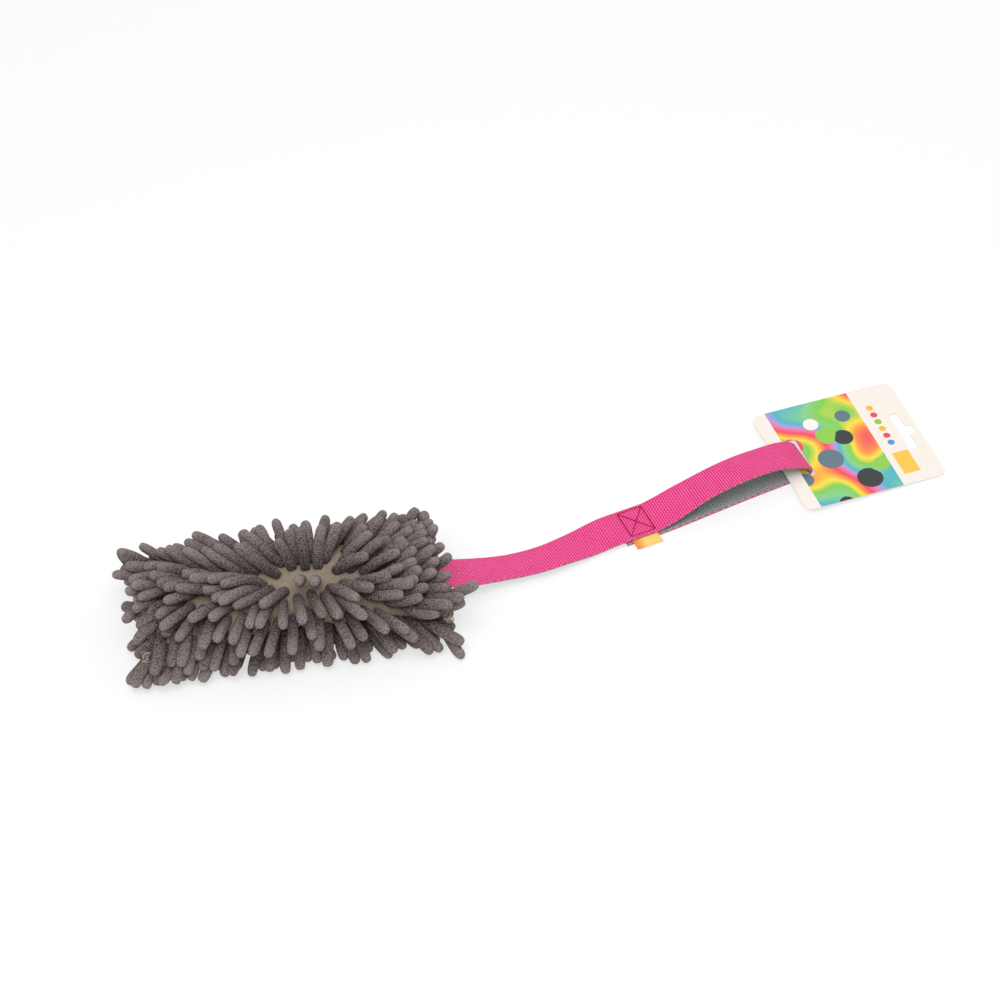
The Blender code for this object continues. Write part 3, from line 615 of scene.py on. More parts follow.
def noodle_shapes(chain, radius, rng):
    """Rings of the noodles: round, a little lumpy, narrow at the root and domed at the tip."""
    lines = along_lines(chain, NOODLE_SHARES)
    lumps = rng.normal(0, NOODLE_LUMPS, (len(chain), len(NOODLE_SHARES), NOODLE_SIDES))
    thick = radius / 0.9 * NOODLE_PROFILE[:, None] * (1 + lumps)
    thick *= 1 + rng.normal(0, NOODLE_UNEVEN, (len(chain), 1, 1))
    rings = round_rings(lines, thick, NOODLE_SIDES)
    share = np.concatenate([np.repeat(NOODLE_SHARES, NOODLE_SIDES), [0.0, 1.0]])
    return rings, np.broadcast_to(share, (len(chain), len(share)))


def chenille_microfibre(settings):
    """Chenille microfibre: cut polyester loops about 1 mm long stand off a thread core.

    The eye sees a matt mottled pile. Its colour follows the pile's height, so it holds painted light on the
    raised curls and painted shade in the dimples between them, with uneven rings about 1.5 mm apart where
    the pile is bound to its core.
    """
    finish, shader, node = new_finish(
        "chenille microfibre", roughness=0.95, specular_ior_level=0.1,
        sheen_weight=0.22, sheen_roughness=0.4, sheen_tint=linear("#D8D0D0"))
    curl, patch, binding, dimple = 1.1 * MM, 3 * MM, 1.5 * MM, 1.0 * MM
    place = node("TexCoord").outputs["Object"]
    tip, tone, along = (
        node("Attribute", attribute_name=name).outputs["Fac"] for name in ("painted_tip_light_root_shade", "tone", "along"))
    curls = node("TexNoise", Vector=place, Scale=1 / curl, Detail=3.0, Roughness=0.7)
    wander = node("TexNoise", Vector=place, Scale=1 / patch, Detail=1.0)
    drift = node("Math MULTIPLY", wander, 9.0)
    turn = node("Math MULTIPLY_ADD", along, 2 * math.pi * settings.length / binding, drift)
    rings = node("Math SINE", turn)
    dimples = node("TexVoronoi", Vector=place, Scale=1 / dimple, Randomness=1.0)
    fibre = node("Math SUBTRACT", curls, dimples)
    pile = node("Math MULTIPLY_ADD", rings, 0.09, fibre)
    # Painted light and shade: the pile's height sets the colour, lighter on the raised curls and darker in
    # the dimples.
    level = node("MapRange", pile, -0.32, 0.5, 0.04, 0.74)
    # Adds the painted tip light and root shade of each noodle to the pile's level.
    lit = node("Math ADD", tip, level)
    shift = node("Math MULTIPLY_ADD", tone, 0.2, lit)
    share = node("Math SUBTRACT", shift, 0.2, use_clamp=True)
    shade, light = tuple(settings.shade), tuple(settings.tip)
    colour = node("Mix", share, A_Color=shade, B_Color=light, data_type="RGBA")
    bump = node("Bump", Strength=0.9, Distance=0.9 * MM, Height=pile)
    feed(shader, {"Base Color": colour, "Normal": bump})
    return finish


def ribbed_backing(settings):
    """Warp-knit polyester backing: fine beige ribs about 1.15 mm apart, matt, with painted shade in the
    grooves.
    """
    finish, shader, node = new_finish("ribbed warp-knit backing", roughness=0.9, sheen_weight=0.15)
    rib, patch, waves_per_scale = 1.15 * MM, 4 * MM, 0.314
    place = node("TexCoord").outputs["Object"]
    turned = node("Mapping", Vector=place, Rotation=(0, 0, math.radians(51)))
    ribs = node(
        "TexWave", Vector=turned, Scale=waves_per_scale / rib, Distortion=1.0, Detail=1.0,
        bands_direction="X")
    fuzz = node("TexNoise", Vector=place, Scale=1 / patch, Detail=3.0)
    level = node("Math MULTIPLY_ADD", fuzz, 0.6, ribs.outputs[1])
    # Painted shade: the rib grooves are darkened to 0.28 of the backing colour.
    stops = ((0.2, toned(settings.backing, -0.72)), (1.0, toned(settings.backing, 0.02)))
    bump = node("Bump", Strength=0.7, Distance=0.4 * MM, Height=ribs.outputs[1])
    feed(shader, {"Base Color": node("ValToRGB", level, stops=stops), "Normal": bump})
    return finish


def polyester_wadding():
    """Loose polyester fibre fill: white, cloudy and soft, with no clear surface."""
    finish, shader, node = new_finish("polyester wadding", roughness=1.0, sheen_weight=0.3)
    place = node("TexCoord").outputs["Object"]
    cloud = node("TexNoise", Vector=place, Scale=1 / (6 * MM), Detail=5.0, Roughness=0.7)
    colour = node("ValToRGB", cloud, stops=((0.3, "#CFCBC2"), (0.7, "#F4F2EC")))
    bump = node("Bump", Strength=0.8, Distance=2 * MM, Height=cloud)
    feed(shader, {"Base Color": colour, "Normal": bump})
    return finish


def overlock_thread():
    """Spun polyester overlock thread: beige, matt, with dark strands where it catches the grey pile."""
    finish, shader, node = new_finish("spun overlock thread", roughness=0.8, sheen_weight=0.2)
    place = node("TexCoord").outputs["Object"]
    twist = node("TexNoise", Vector=place, Scale=1 / (1.6 * MM), Detail=3.0, Roughness=0.7)
    colour = node("ValToRGB", twist, stops=((0.3, "#3B342E"), (0.62, "#BBAA94"), (0.46, "#948471")))
    bump = node("Bump", Strength=0.6, Distance=0.3 * MM, Height=twist)
    feed(shader, {"Base Color": colour, "Normal": bump})
    return finish


def woven_webbing(settings):
    """Woven polyester webbing: ribs right across it every 1.62 mm, under warp cords about 1.25 mm apart.

    Its colour follows the weave's height: painted shade in the grooves across it and a painted glint on the
    small floats between them. The reverse is grey, with the same painted shade and glint. Face and reverse
    change places at the selvedges every 4.7 mm. The map is in metres, across and along.
    """
    finish, shader, node = new_finish(
        "woven polyester webbing", roughness=0.6, sheen_weight=0.06, specular_ior_level=0.3)
    rib_pitch, cord_pitch, tick_pitch, patch = 1.62 * MM, 1.25 * MM, 4.7 * MM, 7 * MM
    place = node("SeparateXYZ", node("UVMap", uv_map="cloth"))
    across, along = place.outputs[0], place.outputs[1]
    under = node("Attribute", attribute_name="under").outputs["Fac"]
    reverse = node("Math GREATER_THAN", under, 0.5)
    cord = node("Math MULTIPLY", across, 1 / cord_pitch)
    share, number = node("Math FRACT", cord), node("Math FLOOR", cord)
    ridge = node("Math SINE", node("Math MULTIPLY", share, math.pi))
    half = node("Math MULTIPLY", number, math.pi)
    over = node("Math SINE", node("Math MULTIPLY_ADD", along, math.pi / rib_pitch, half))
    lift = node("Math MULTIPLY_ADD", over, 0.24, 0.76)
    weave = node("Math MULTIPLY", ridge, lift)
    rib = node("Math SINE", node("Math MULTIPLY", along, 2 * math.pi / rib_pitch))
    height = node("Math MULTIPLY_ADD", rib, 0.62, weave)
    body = node("TexCoord").outputs["Object"]
    uneven = node("TexNoise", Vector=body, Scale=1 / patch, Detail=2.0)
    full = node("Math MULTIPLY_ADD", uneven, 0.35, height)
    level = node("MapRange", full, -0.55, 1.75)
    # Painted shade and glint: each face's ramp runs from its darkened dye in the grooves to its lightened
    # dye on the floats.
    dye_painted_shade_glint = ((settings.face, -0.57, 0.24), (settings.reverse, -0.5, 0.4))
    face, back = (
        node("ValToRGB", level, stops=((0.0, toned(dye, low)), (1.0, toned(dye, high)), (0.5, dye)))
        for dye, low, high in dye_painted_shade_glint)
    rim_start = node("Math MULTIPLY_ADD", reverse, -0.7 * MM, 12.3 * MM)
    rim = node("Math GREATER_THAN", node("Math ABSOLUTE", across), rim_start)
    swap = node("Math SINE", node("Math MULTIPLY", along, 2 * math.pi / tick_pitch))
    dotted = node("Math MULTIPLY", rim, node("Math GREATER_THAN", swap, 0.1))
    face_shown = node("Math COMPARE", reverse, dotted, 0.5)
    back_shown = node("Math SUBTRACT", 1.0, face_shown)
    colour = node("Mix", back_shown, A_Color=face, B_Color=back, data_type="RGBA")
    bump = node("Bump", Strength=0.8, Distance=0.35 * MM, Height=height)
    feed(shader, {"Base Color": colour, "Normal": bump})
    return finish


def bonded_thread(settings):
    """Bonded polyester sewing thread: dark crimson, twisted, with a slight shine."""
    finish, shader, node = new_finish("bonded sewing thread", roughness=0.55, specular_ior_level=0.25)
    place = node("TexCoord").outputs["Object"]
    twist = node("TexNoise", Vector=place, Scale=1 / (0.8 * MM), Detail=2.0)
    stops = ((0.3, toned(settings.thread, -0.35)), (0.7, toned(settings.thread, 0.01)))
    feed(shader, {"Base Color": node("ValToRGB", twist, stops=stops)})
    return finish


def satin_tape(settings):
    """Woven satin label tape: amber, fine even threads about 0.9 mm apart, with painted shade of deeper
    orange along one side.
    """
    finish, shader, node = new_finish("satin label tape", roughness=0.5, sheen_weight=0.2)
    place = node("SeparateXYZ", node("UVMap", uv_map="cloth"))
    ripple = node("Math SINE", node("Math MULTIPLY", place.outputs[1], 2 * math.pi / (0.9 * MM)))
    body = node("TexCoord").outputs["Object"]
    uneven = node("TexNoise", Vector=body, Scale=1 / (5 * MM), Detail=3.0)
    side = node("Math MULTIPLY_ADD", uneven, 4 * MM, place)
    level = node("MapRange", side, -6 * MM, 11 * MM)
    pale = toned(settings.label, -0.05)
    # Painted shade: the tape runs from deep orange at one edge to its own amber across its width.
    stops = ((0.0, "#E68A24"), (0.9, pale), (0.16, "#F0A43C"), (0.4, settings.label))
    bump = node("Bump", Strength=0.35, Distance=0.1 * MM, Height=ripple)
    feed(shader, {"Base Color": node("ValToRGB", level, stops=stops), "Normal": bump})
    return finish


def coated_card():
    """Coated cartonboard, 0.6 mm: warm off-white with a soft silk gloss, and a print on its upper face.

    The print is a plain generic one: soft swirling bands with round spots over them, from 9.4 mm to 66 mm
    along, and beyond them a row of dots and a plain block.
    """
    finish, shader, node = new_finish("coated cartonboard", roughness=0.38, specular_ior_level=0.4)
    swirl_size, swirl_depth, band_length, spot_pitch, fibre = 38 * MM, 85 * MM, 52 * MM, 23 * MM, 1.2 * MM
    dot_pitch, dot_row, block_middle, block_half = 6.4, 74.5, (76 * MM, -25 * MM), (5.5 * MM, 9.5 * MM)
    shape = node("TexCoord")
    place = node(
        "Mapping", Vector=shape.outputs["Object"], Location=tuple(JOINTS["card_lift"]),
        Rotation=(0, 0, math.radians(CARD_YAW_DEGREES)), vector_type="TEXTURE")
    axes = node("SeparateXYZ", place)
    along, across = axes.outputs[0], axes.outputs[1]
    upper = node("Math GREATER_THAN", node("SeparateXYZ", shape.outputs["Normal"]).outputs[2], 0.5)
    grain = node("TexNoise", Vector=place, Scale=1 / fibre, Detail=2.0)
    board = node("ValToRGB", grain, stops=((0.2, "#EFE6DB"), (0.8, "#F5EEE4")))

    drift = node("TexNoise", Vector=place, Scale=1 / swirl_size, Detail=0.0)
    sweep = node("Math MULTIPLY_ADD", across, 0.5, along)
    swirl = node("Math MULTIPLY_ADD", drift, swirl_depth, sweep)
    band_share = node("Math FRACT", node("Math MULTIPLY", swirl, 1 / band_length))
    bands = node("ValToRGB", band_share, stops=PRINT_BANDS)
    spots = node("TexVoronoi", Vector=place, Scale=1 / spot_pitch, Randomness=0.7,
                 voronoi_dimensions="2D")
    pick = node("SeparateColor", spots.outputs["Color"])
    size = node("Math MULTIPLY_ADD", pick.outputs[1], 0.16, 0.2)
    spot = node("Math LESS_THAN", spots, size)
    spot_colour = node("ValToRGB", pick, stops=PRINT_SPOTS)
    spot_colour.color_ramp.interpolation = "CONSTANT"
    printed = node("Mix", spot, A_Color=bands, B_Color=spot_colour, data_type="RGBA")
    half = (CARD_PICTURE_END - CARD_STRIP) / 2
    zone = node("Math MULTIPLY", node("Math COMPARE", along, CARD_STRIP + half, half), upper)

    cell = node("Math MULTIPLY_ADD", across, 1 / (dot_pitch * MM), 1.5)
    row = node("Math MULTIPLY_ADD", along, 1 / (dot_pitch * MM), -dot_row / dot_pitch)
    from_dot = node("CombineXYZ", row, node("Math SUBTRACT", node("Math FRACT", cell), 0.5))
    dot = node("Math LESS_THAN", node("VectorMath LENGTH", from_dot), 0.36)
    dots = node("Math MULTIPLY", dot, node("Math COMPARE", cell, 3.0, 3.0))
    dot_colour = node("ValToRGB", node("Math MULTIPLY", cell, 1 / 6), stops=HEADER_DOTS)
    dot_colour.color_ramp.interpolation = "CONSTANT"
    block = node("Math MULTIPLY", *(
        node("Math COMPARE", way, middle, reach)
        for way, middle, reach in zip((along, across), block_middle, block_half)))
    dotted = node("Mix", dots, A_Color=board, B_Color=dot_colour, data_type="RGBA")
    header = node("Mix", block, A_Color=dotted, B_Color=linear("#F6C344"), data_type="RGBA")
    upper_header = node("Mix", upper, A_Color=board, B_Color=header, data_type="RGBA")
    colour = node("Mix", zone, A_Color=upper_header, B_Color=printed, data_type="RGBA")
    bump = node("Bump", Strength=0.08, Distance=0.1 * MM, Height=grain)
    feed(shader, {"Base Color": colour, "Normal": bump})
    return finish


def ride(piece, body, slot, *nodes):
    """Ties a finished piece to its body, in place of the frame's own nodes. The slot is not used."""
    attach(piece, body)
    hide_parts(*nodes)
    return piece


def make_noodles(settings):
    """Four pieces, one for each slice of the frame's pile, each with the noodles that root in it."""
    rng = np.random.default_rng(settings.seed)
    radius = settings.thickness / 2
    root, direction, length, row = plant_noodles(settings, rng)
    chain = settle_noodles(root, direction, length, radius)
    rings, along = noodle_shapes(to_world(chain), radius, rng)
    tone = np.repeat(rng.normal(0.5, 0.25, (len(rings), 1)), along.shape[1], axis=1)
    # Painted light and shade along each noodle: up to 0.48 lighter towards the tip, and up to 0.16 darker
    # at the root.
    tip = 0.48 * along**2 - 0.16 * (1 - smooth(along / 0.4))
    finish = chenille_microfibre(settings)
    for k, place in enumerate(("top_far", "top_near", "bottom_near", "bottom_far")):
        chosen = row * 4 // NOODLE_ROWS == k
        values = {"painted_tip_light_root_shade": tip[chosen], "tone": tone[chosen], "along": along[chosen]}
        piece = mesh_object(f"noodles_{place}", *closed_tubes(rings[chosen]), finish, **values)
        rounder = piece.modifiers.new("rounder", "SUBSURF")
        rounder.levels = rounder.render_levels = 1
        ride(piece, "mop", "noodle_fabric", f"pile_{place}")


def sleeve_rings(inset, count, rows, first=-1.0, last=1.0):
    """Rings of the sleeve's oval set in by inset: (A, w/2 cos t, middle + h/2 sin t)."""
    end = np.sin(np.linspace(math.asin(first), math.asin(last), rows))
    width, height, middle = sleeve_section(end)
    turn = turns(count)
    across = (width[:, None] / 2 - inset) * np.cos(turn)
    up = middle[:, None] + (height[:, None] / 2 - inset) * np.sin(turn)
    return columns(end[:, None] * SLEEVE_LENGTH / 2, across, up)


def make_backing(settings):
    """The sleeve's knitted backing as a shell with an outer and an inner face, and the wadding in it."""
    outer = sleeve_rings(0, 96, 90)
    hem = outer[[0, -1]].copy()
    hem[..., 0] += np.array([-1, 1])[:, None] * HEM_LENGTH
    hem[..., 1] *= HEM_NARROWS
    hem[..., 2] = SEAM_CENTRE_Z + (hem[..., 2] - SEAM_CENTRE_Z) * HEM_FLATTENS
    outer = np.concatenate([hem[:1], outer, hem[1:]])
    off_axis = outer * (0, 1, 1)
    off_axis[..., 2] -= outer[..., 2].mean(1, keepdims=True)
    inner = outer - unit(off_axis) * BACKING_THICKNESS
    loop = np.concatenate([outer, inner[::-1]])
    rows, sides = loop.shape[:2]
    i, j = np.arange(rows)[:, None], np.arange(sides)[None]
    after_i, after_j = (i + 1) % rows * sides, (j + 1) % sides
    quads = columns(i * sides + j, i * sides + after_j, after_i + after_j, after_i + j)
    finish = ribbed_backing(settings)
    backing = mesh_object("backing_fabric", to_world(loop).reshape(-1, 3), [quads.reshape(-1, 4)], finish)
    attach(backing, "mop")

    rng = np.random.default_rng(settings.seed + 1)
    sides, rings, dents, dent_depth = 48, 50, 6, 1.2 * MM
    stuffing = sleeve_rings(BACKING_THICKNESS + WADDING_GAP, sides, rings, *WADDING_ENDS)
    lump = rng.normal(0, 1, (1, dents, 3))
    turn = np.linspace(0, 2 * math.pi, sides, endpoint=False)[None]
    share = np.linspace(0, 9, rings)[:, None]
    waves = (
        abs(np.sin(share * (1 + lump[0, k, 0] / 4) + (k + 1) * turn + lump[0, k, 1])) for k in range(dents))
    dent = sum(waves) / dents
    out = unit(stuffing[..., 1:] - stuffing[..., 1:].mean(1, keepdims=True))
    stuffing[..., 1:] -= out * dent[..., None] * dent_depth
    wadding = mesh_object("wadding", *closed_tubes(to_world(stuffing)[None]), polyester_wadding())
    ride(wadding, "mop", "wadding", "wadding_core")


def slot_rise(across, side):
    """How far the seam at the strap's end, side 1, parts for the strap within 16.5 mm of its middle."""
    return smooth((SLOT_HALF - np.abs(across)) / SLOT_EASE) * SLOT_RISE * (side > 0)


def seam_lip(side, layer):
    """Rings along B of one layer of the sewn edge at an end: a flat rounded bar that parts round the strap.

    Its section is (cos t, sin t) with both blunted, 4 mm deep and 2 mm thick.
    """
    across = np.linspace(-LIP_HALF, LIP_HALF, 60)
    turn = turns(12)
    taper = np.sqrt(np.clip(1 - (across / LIP_TAPER) ** 8, 0.04, 1))
    ripple = RIPPLE * np.sin(across / RIPPLE_LENGTH)
    reach = side * (SLEEVE_LENGTH / 2 + LIP_OUT)
    depth = reach + taper[:, None] * LIP_DEEP * blunt(np.cos(turn)) + ripple[:, None] * side
    lift = layer * (LIP_LIFT + slot_rise(across, side))[:, None]
    height = SEAM_CENTRE_Z + lift + taper[:, None] * LIP_THICK * blunt(np.sin(turn))
    return columns(depth, across[:, None], height)[:, ::-1]


def overlock_line(side):
    """The overlock thread of an end: it winds over the lip and under it, one turn every 2.6 mm across."""
    angle = np.linspace(0, 2 * math.pi * OVERLOCK_TURNS, OVERLOCK_TURNS * 14 + 1)
    across = np.linspace(-OVERLOCK_HALF, OVERLOCK_HALF, len(angle))
    depth = side * (SLEEVE_LENGTH / 2 + OVERLOCK_OUT + OVERLOCK_REACH * np.cos(angle))
    height = SEAM_CENTRE_Z + (OVERLOCK_LIFT + slot_rise(across, side)) * blunt(np.sin(angle))
    return columns(depth, across, height)


def knot_line(centre, size, phase):
    """A tangled thread end: centre + 0.6 size (sin 1.5t + sin t / 2, cos(2t + 0.6), 0.8 sin 2.5t)."""
    t = np.linspace(0, 4 * math.pi, 90) + phase
    swing = columns(np.sin(1.5 * t) + 0.5 * np.sin(t), np.cos(2 * t + 0.6), 0.8 * np.sin(2.5 * t))
    return centre + swing * size * 0.6


def make_seams():
    """The two overlocked end seams with their thread ends, and the long seam underneath."""
    finish = overlock_thread()
    for side, name in ((-1, "plain"), (1, "strap")):
        groups = [closed_tubes(to_world(seam_lip(side, layer))[None]) for layer in (-1, 1)]
        groups.append(threads(to_world(overlock_line(side)[None]), SEAM_THREAD))
        for across, phase in KNOTS:
            centre = np.array([side * (SLEEVE_LENGTH / 2 + KNOT_OUT), across, SEAM_CENTRE_Z])
            knots = np.stack([knot_line(centre, KNOT_SIZE, phase + k) for k in (0.0, 2.2)])
            groups.append(threads(to_world(knots), KNOT_THREAD))
        seam = mesh_object(f"overlock_{name}_end", *joined(groups), finish)
        ride(seam, "mop", "overlock_thread", f"end_seam_{name}")
    stations = 90
    end = np.linspace(-0.985, 0.985, stations)
    _, height, middle = sleeve_section(end)
    low = middle - height / 2 + 0.4 * MM
    zigzag = 1.1 * MM * np.sign(np.sin(np.arange(stations) * 1.6))
    line = columns(end * SLEEVE_LENGTH / 2, zigzag, low - 0.6 * MM)
    bead = columns(end * SLEEVE_LENGTH / 2, 0 * end, low)
    groups = [threads(to_world(bead[None]), 1.0 * MM, 8), threads(to_world(line[None]), SEAM_THREAD)]
    ride(mesh_object("long_seam_edge", *joined(groups), finish), "mop", "overlock_thread", "long_seam")


def strap_route(settings):
    """Stations along the whole strap: middle, across, normal, length so far, and where it turns back.

    It runs from the sewn-in tail to the box stitch, over the hand loop, down through the card's slit,
    back along the ground and under the box stitch to its cut end.
    """
    x = np.arange(TAIL_X, 9 * MM, ROUTE_STEP)
    sway = SWAY * bell((x + SWAY_X) / SWAY_LENGTH)
    free = columns(x, sway, strap_height(x))
    first_x = LOOP_HEIGHTS[0][0]
    drifts = [LOOP_DRIFT * max(a - first_x, 0) / LOOP_LENGTH for a, _ in LOOP_HEIGHTS]
    loop = through([(a * MM, drift, z * MM) for (a, z), drift in zip(LOOP_HEIGHTS, drifts)], ROUTE_STEP)
    route = np.concatenate([free, loop])
    place = lengths_along(route)
    wanted = np.linspace(0, place[-1], int(place[-1] / WEBBING_STEP) + 1)
    middle = np.stack([np.interp(wanted, place, route[:, k]) for k in range(3)], axis=-1)
    x = middle[:, 0]
    turn_back = np.argmax(x)
    number = np.arange(len(x))
    middle[:, 1] -= UNDER_SHIFT * ((number > turn_back) * (1 - smooth((x - UNDER_FROM_X) / UNDER_EASE)))
    along = unit(np.gradient(middle, axis=0))
    out = number < turn_back
    leg = smooth((x - LEG_ROLL_IN) / LEG_IN_LENGTH)
    leg = leg * (1 - smooth((x - LEG_ROLL_OUT) / LEG_OUT_LENGTH)) * out
    roll = np.where(x < 10 * MM, strap_roll(x), 0) * out
    roll = roll + math.radians(LEG_ROLL_DEGREES) * leg
    level = np.broadcast_to([0.0, 1.0, 0.0], along.shape)
    up = unit(np.cross(along, level))
    across = unit(level * np.cos(roll)[:, None] + up * np.sin(roll)[:, None])
    normal = unit(np.cross(along, across))
    return middle, across, normal, wanted, turn_back


def flat_rings(middle, across, normal, length, half_width, half):
    """Rings of a flat band with round edges, its map across and along in metres, and 1 on its under side.

    The section is a straight face, a half circle round the edge, the reverse and a half circle back.
    """
    steps = np.linspace(1, -1, 13)
    edge = np.linspace(0.5, 1.5, 7)[1:-1] * math.pi
    flat = half_width - half
    out, up = half * np.cos(edge), half * np.sin(edge)
    side = np.concatenate([steps * flat, -flat + out, -steps * flat, flat - out])
    rise = np.concatenate([0 * steps + half, up, 0 * steps - half, -up])
    rings = middle[:, None] + side[None, :, None] * across[:, None] + rise[None, :, None] * normal[:, None]
    under = (rise < -0.2 * half).astype(float)
    values = columns(side[None], length[:, None], under[None])
    values = np.concatenate([values.reshape(-1, 3), values[[0, -1]].mean(axis=1)])
    return rings, values[:, :2], values[:, 2]


def make_webbing(settings):
    """The strap in four lengths that meet end to end."""
    middle, across, normal, length, turn_back = strap_route(settings)
    x = middle[:, 0]
    near, far, leg = np.searchsorted(x[: turn_back + 1], [NEAR_CUT_X, FAR_CUT_X, LEG_CUT_X])
    back = turn_back + np.argmax(x[turn_back:] < LEG_CUT_X)
    finish = woven_webbing(settings)
    lengths = (
        ("sleeve_end", [(0, near)], ("strap_root", "strap_mop_side"), ("mop", "strap_near"), (-123, -112)),
        ("middle", [(near, far)], ("strap_hand_side",), ("strap_near", "strap_far"), (-90, -34)),
        ("box_end", [(far, leg), (back, len(x) - 1)], ("strap_cut_end",), ("strap_far", "loop"), (9.2, 17)),
        ("bight", [(leg, back)], ("hand_loop",), ("loop", "card"), (90, 113)),
    )
    for name, spans, nodes, bodies, (start, end) in lengths:
        groups, maps, sides = [], [], []
        for first, last in spans:
            part = slice(first, last + 1)
            stations = middle[part], across[part], normal[part], length[part]
            rings, uv, under = flat_rings(*stations, settings.width / 2, settings.thickness / 2)
            groups.append(closed_tubes(rings[None]))
            maps.append(uv)
            sides.append(under)
        uv, under = np.concatenate(maps), np.concatenate(sides)
        piece = mesh_object(f"webbing_{name}", *joined(groups), finish, uv=uv, under=under)
        piece.data.set_sharp_from_angle(angle=1.0)
        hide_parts(*nodes)
        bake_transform(piece)


def stitch_lines(starts, ends, bulge):
    """Middle lines of rows of stitches: each goes up and down again, bulge sin(pi t), with a gap after."""
    lines = []
    for start, end in zip(np.asarray(starts, float), np.asarray(ends, float)):
        count = max(1, round(np.linalg.norm(end - start) / STITCH_PITCH))
        first = (np.arange(count) / count)[:, None, None]
        t = np.linspace(0, 1, 6)[None, :, None]
        line = start + (end - start) * (first + (0.04 + 0.92 * t) / count)
        line[..., 2:] += bulge * np.sin(math.pi * t)
        lines.append(line)
    return np.concatenate(lines)


def make_stitches(settings):
    """The box and cross on the strap, above and below, and the two rows across its tail in the sleeve."""
    finish = bonded_thread(settings)
    half_x, half_y = BOX_LENGTH / 2 - BOX_INSET, BOX_WIDTH / 2 - BOX_INSET
    box = [(x * half_x, y * half_y, BOX_TOP) for x, y in ((-1, -1), (1, -1), (1, 1), (-1, 1))]
    starts, ends = [*box, box[0], box[1]], [*box[1:], box[0], box[2], box[3]]
    upper = stitch_lines(starts, ends, 0.3 * MM)
    lengthwise = np.abs(upper[:, -1, 1] - upper[:, 0, 1]) < 0.1 * MM
    upper[lengthwise, :, 2] -= 0.3 * MM
    lines = np.concatenate([upper, upper * (1, 1, 0) + (0, 0, 0.2 * MM)])
    slant = np.abs(lines[:, -1, :2] - lines[:, 0, :2]).min(axis=1) > 0.2 * MM
    thick = np.where(slant, CROSS_THREAD, BOX_THREAD)[:, None, None]
    stitch = mesh_object("box_and_cross_stitch", *threads(lines, thick), finish)
    ride(stitch, "strap_far", "stitch_thread", "box_stitch")
    low, high = (
        [(SEAM_X - depth, side * TAIL_ROW_HALF, SEAM_CENTRE_Z + STRAP_REST) for depth in TAIL_ROWS]
        for side in (-1, 1))
    tail = mesh_object("tail_rows", *threads(stitch_lines(low, high, 0.25 * MM), 0.3 * MM), finish)
    ride(tail, "mop", "stitch_thread", "tail_stitch")


def make_label(settings):
    """The side label: a tape folded once, its two ends sewn between the layers and its fold outside."""
    line = through([(0, y * MM, z * MM) for y, z in LABEL_FOLD], 0.35 * MM)
    along = unit(np.gradient(line, axis=0))
    across = np.broadcast_to([1.0, 0.0, 0.0], along.shape)
    length = lengths_along(line)
    normal = np.cross(along, across)
    rings, uv, _ = flat_rings(line, across, normal, length, LABEL_WIDTH / 2, LABEL_THICKNESS / 2)
    points, faces = closed_tubes(rings[None])
    points[:, 0] += LABEL_SKEW * np.clip(-points[:, 1] - 12.5 * MM, 0, None)
    label = mesh_object("side_label_tape", points, faces, satin_tape(settings), uv=uv)
    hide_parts("label_tail", "side_label")
    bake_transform(label)


def make_card():
    """The hang card keeps the frame's own plate and gets its board and print."""
    card = frame["nodes"]["hang_card"]
    card.data.materials.clear()
    card.data.materials.append(coated_card())


def aim(holder, way):
    """Turns a camera or a lamp so that it looks along a way."""
    holder.rotation_mode = "QUATERNION"
    holder.rotation_quaternion = way.to_track_quat("-Z", "Y")
    bpy.context.scene.collection.objects.link(holder)


def make_stage(settings):
    """A pale floor, a white world, a soft box overhead and the camera at the photograph's angle."""
    scene = bpy.context.scene
    scene.view_settings.view_transform = "Standard"
    azimuth, elevation = math.radians(AZIMUTH_DEGREES), math.radians(ELEVATION_DEGREES)
    flat = math.cos(elevation)
    back = Vector((math.sin(azimuth) * flat, -math.cos(azimuth) * flat, math.sin(elevation)))
    right = Vector((math.cos(azimuth), math.sin(azimuth), 0))
    target = right * TARGET_RIGHT + back.cross(right) * TARGET_UP
    camera = bpy.data.objects.new("camera", bpy.data.cameras.new("camera"))
    camera.data.lens = camera.data.sensor_width * PICTURES_PER_METRE * settings.distance
    camera.data.clip_start, camera.data.clip_end = 0.1, 20
    camera.location = target + back * settings.distance
    aim(camera, -back)
    scene.camera = camera

    finish, shader, node = new_finish("white studio floor", roughness=0.9, specular_ior_level=0.1)
    feed(shader, {"Base Color": linear("#F6F6F6")})
    glow = node("Emission", (1, 1, 1, 1), 1.02)
    share = node("Math MULTIPLY", node("LightPath").outputs["Is Camera Ray"], 0.6)
    feed(finish.node_tree.nodes["Material Output"], {"Surface": node("MixShader", share, shader, glow)})
    side = 3.0
    points = np.array([(-side, -side, 0), (side, -side, 0), (side, side, 0), (-side, side, 0)])
    mesh_object("studio_floor", points, [np.array([[0, 1, 2, 3]])], finish)

    world = bpy.data.worlds.new("white studio")
    scene.world = world
    world.use_nodes = True
    node = partial(add_node, world.node_tree)
    around = node("Background", (1, 1, 1, 1), settings.sky)
    white = node("Background", (1, 1, 1, 1), 1.0)
    mixed = node("MixShader", node("LightPath").outputs["Is Camera Ray"], around, white)
    feed(world.node_tree.nodes["World Output"], {"Surface": mixed})

    for name, place, power, size in LAMPS:
        lamp = bpy.data.lights.new(name, "AREA")
        lamp.energy, lamp.size = settings.lamp * power, size
        holder = bpy.data.objects.new(name, lamp)
        holder.location = place
        aim(holder, LAMP_TARGET - Vector(place))


class TUGTOY_OT_stage(bpy.types.Operator):
    """Adds the floor, the lights and the camera"""

    bl_idname = "tugtoy.stage"
    bl_label = "Studio"

    def execute(self, context):
        make_stage(context.scene.tugtoy_stage)
        return {"FINISHED"}


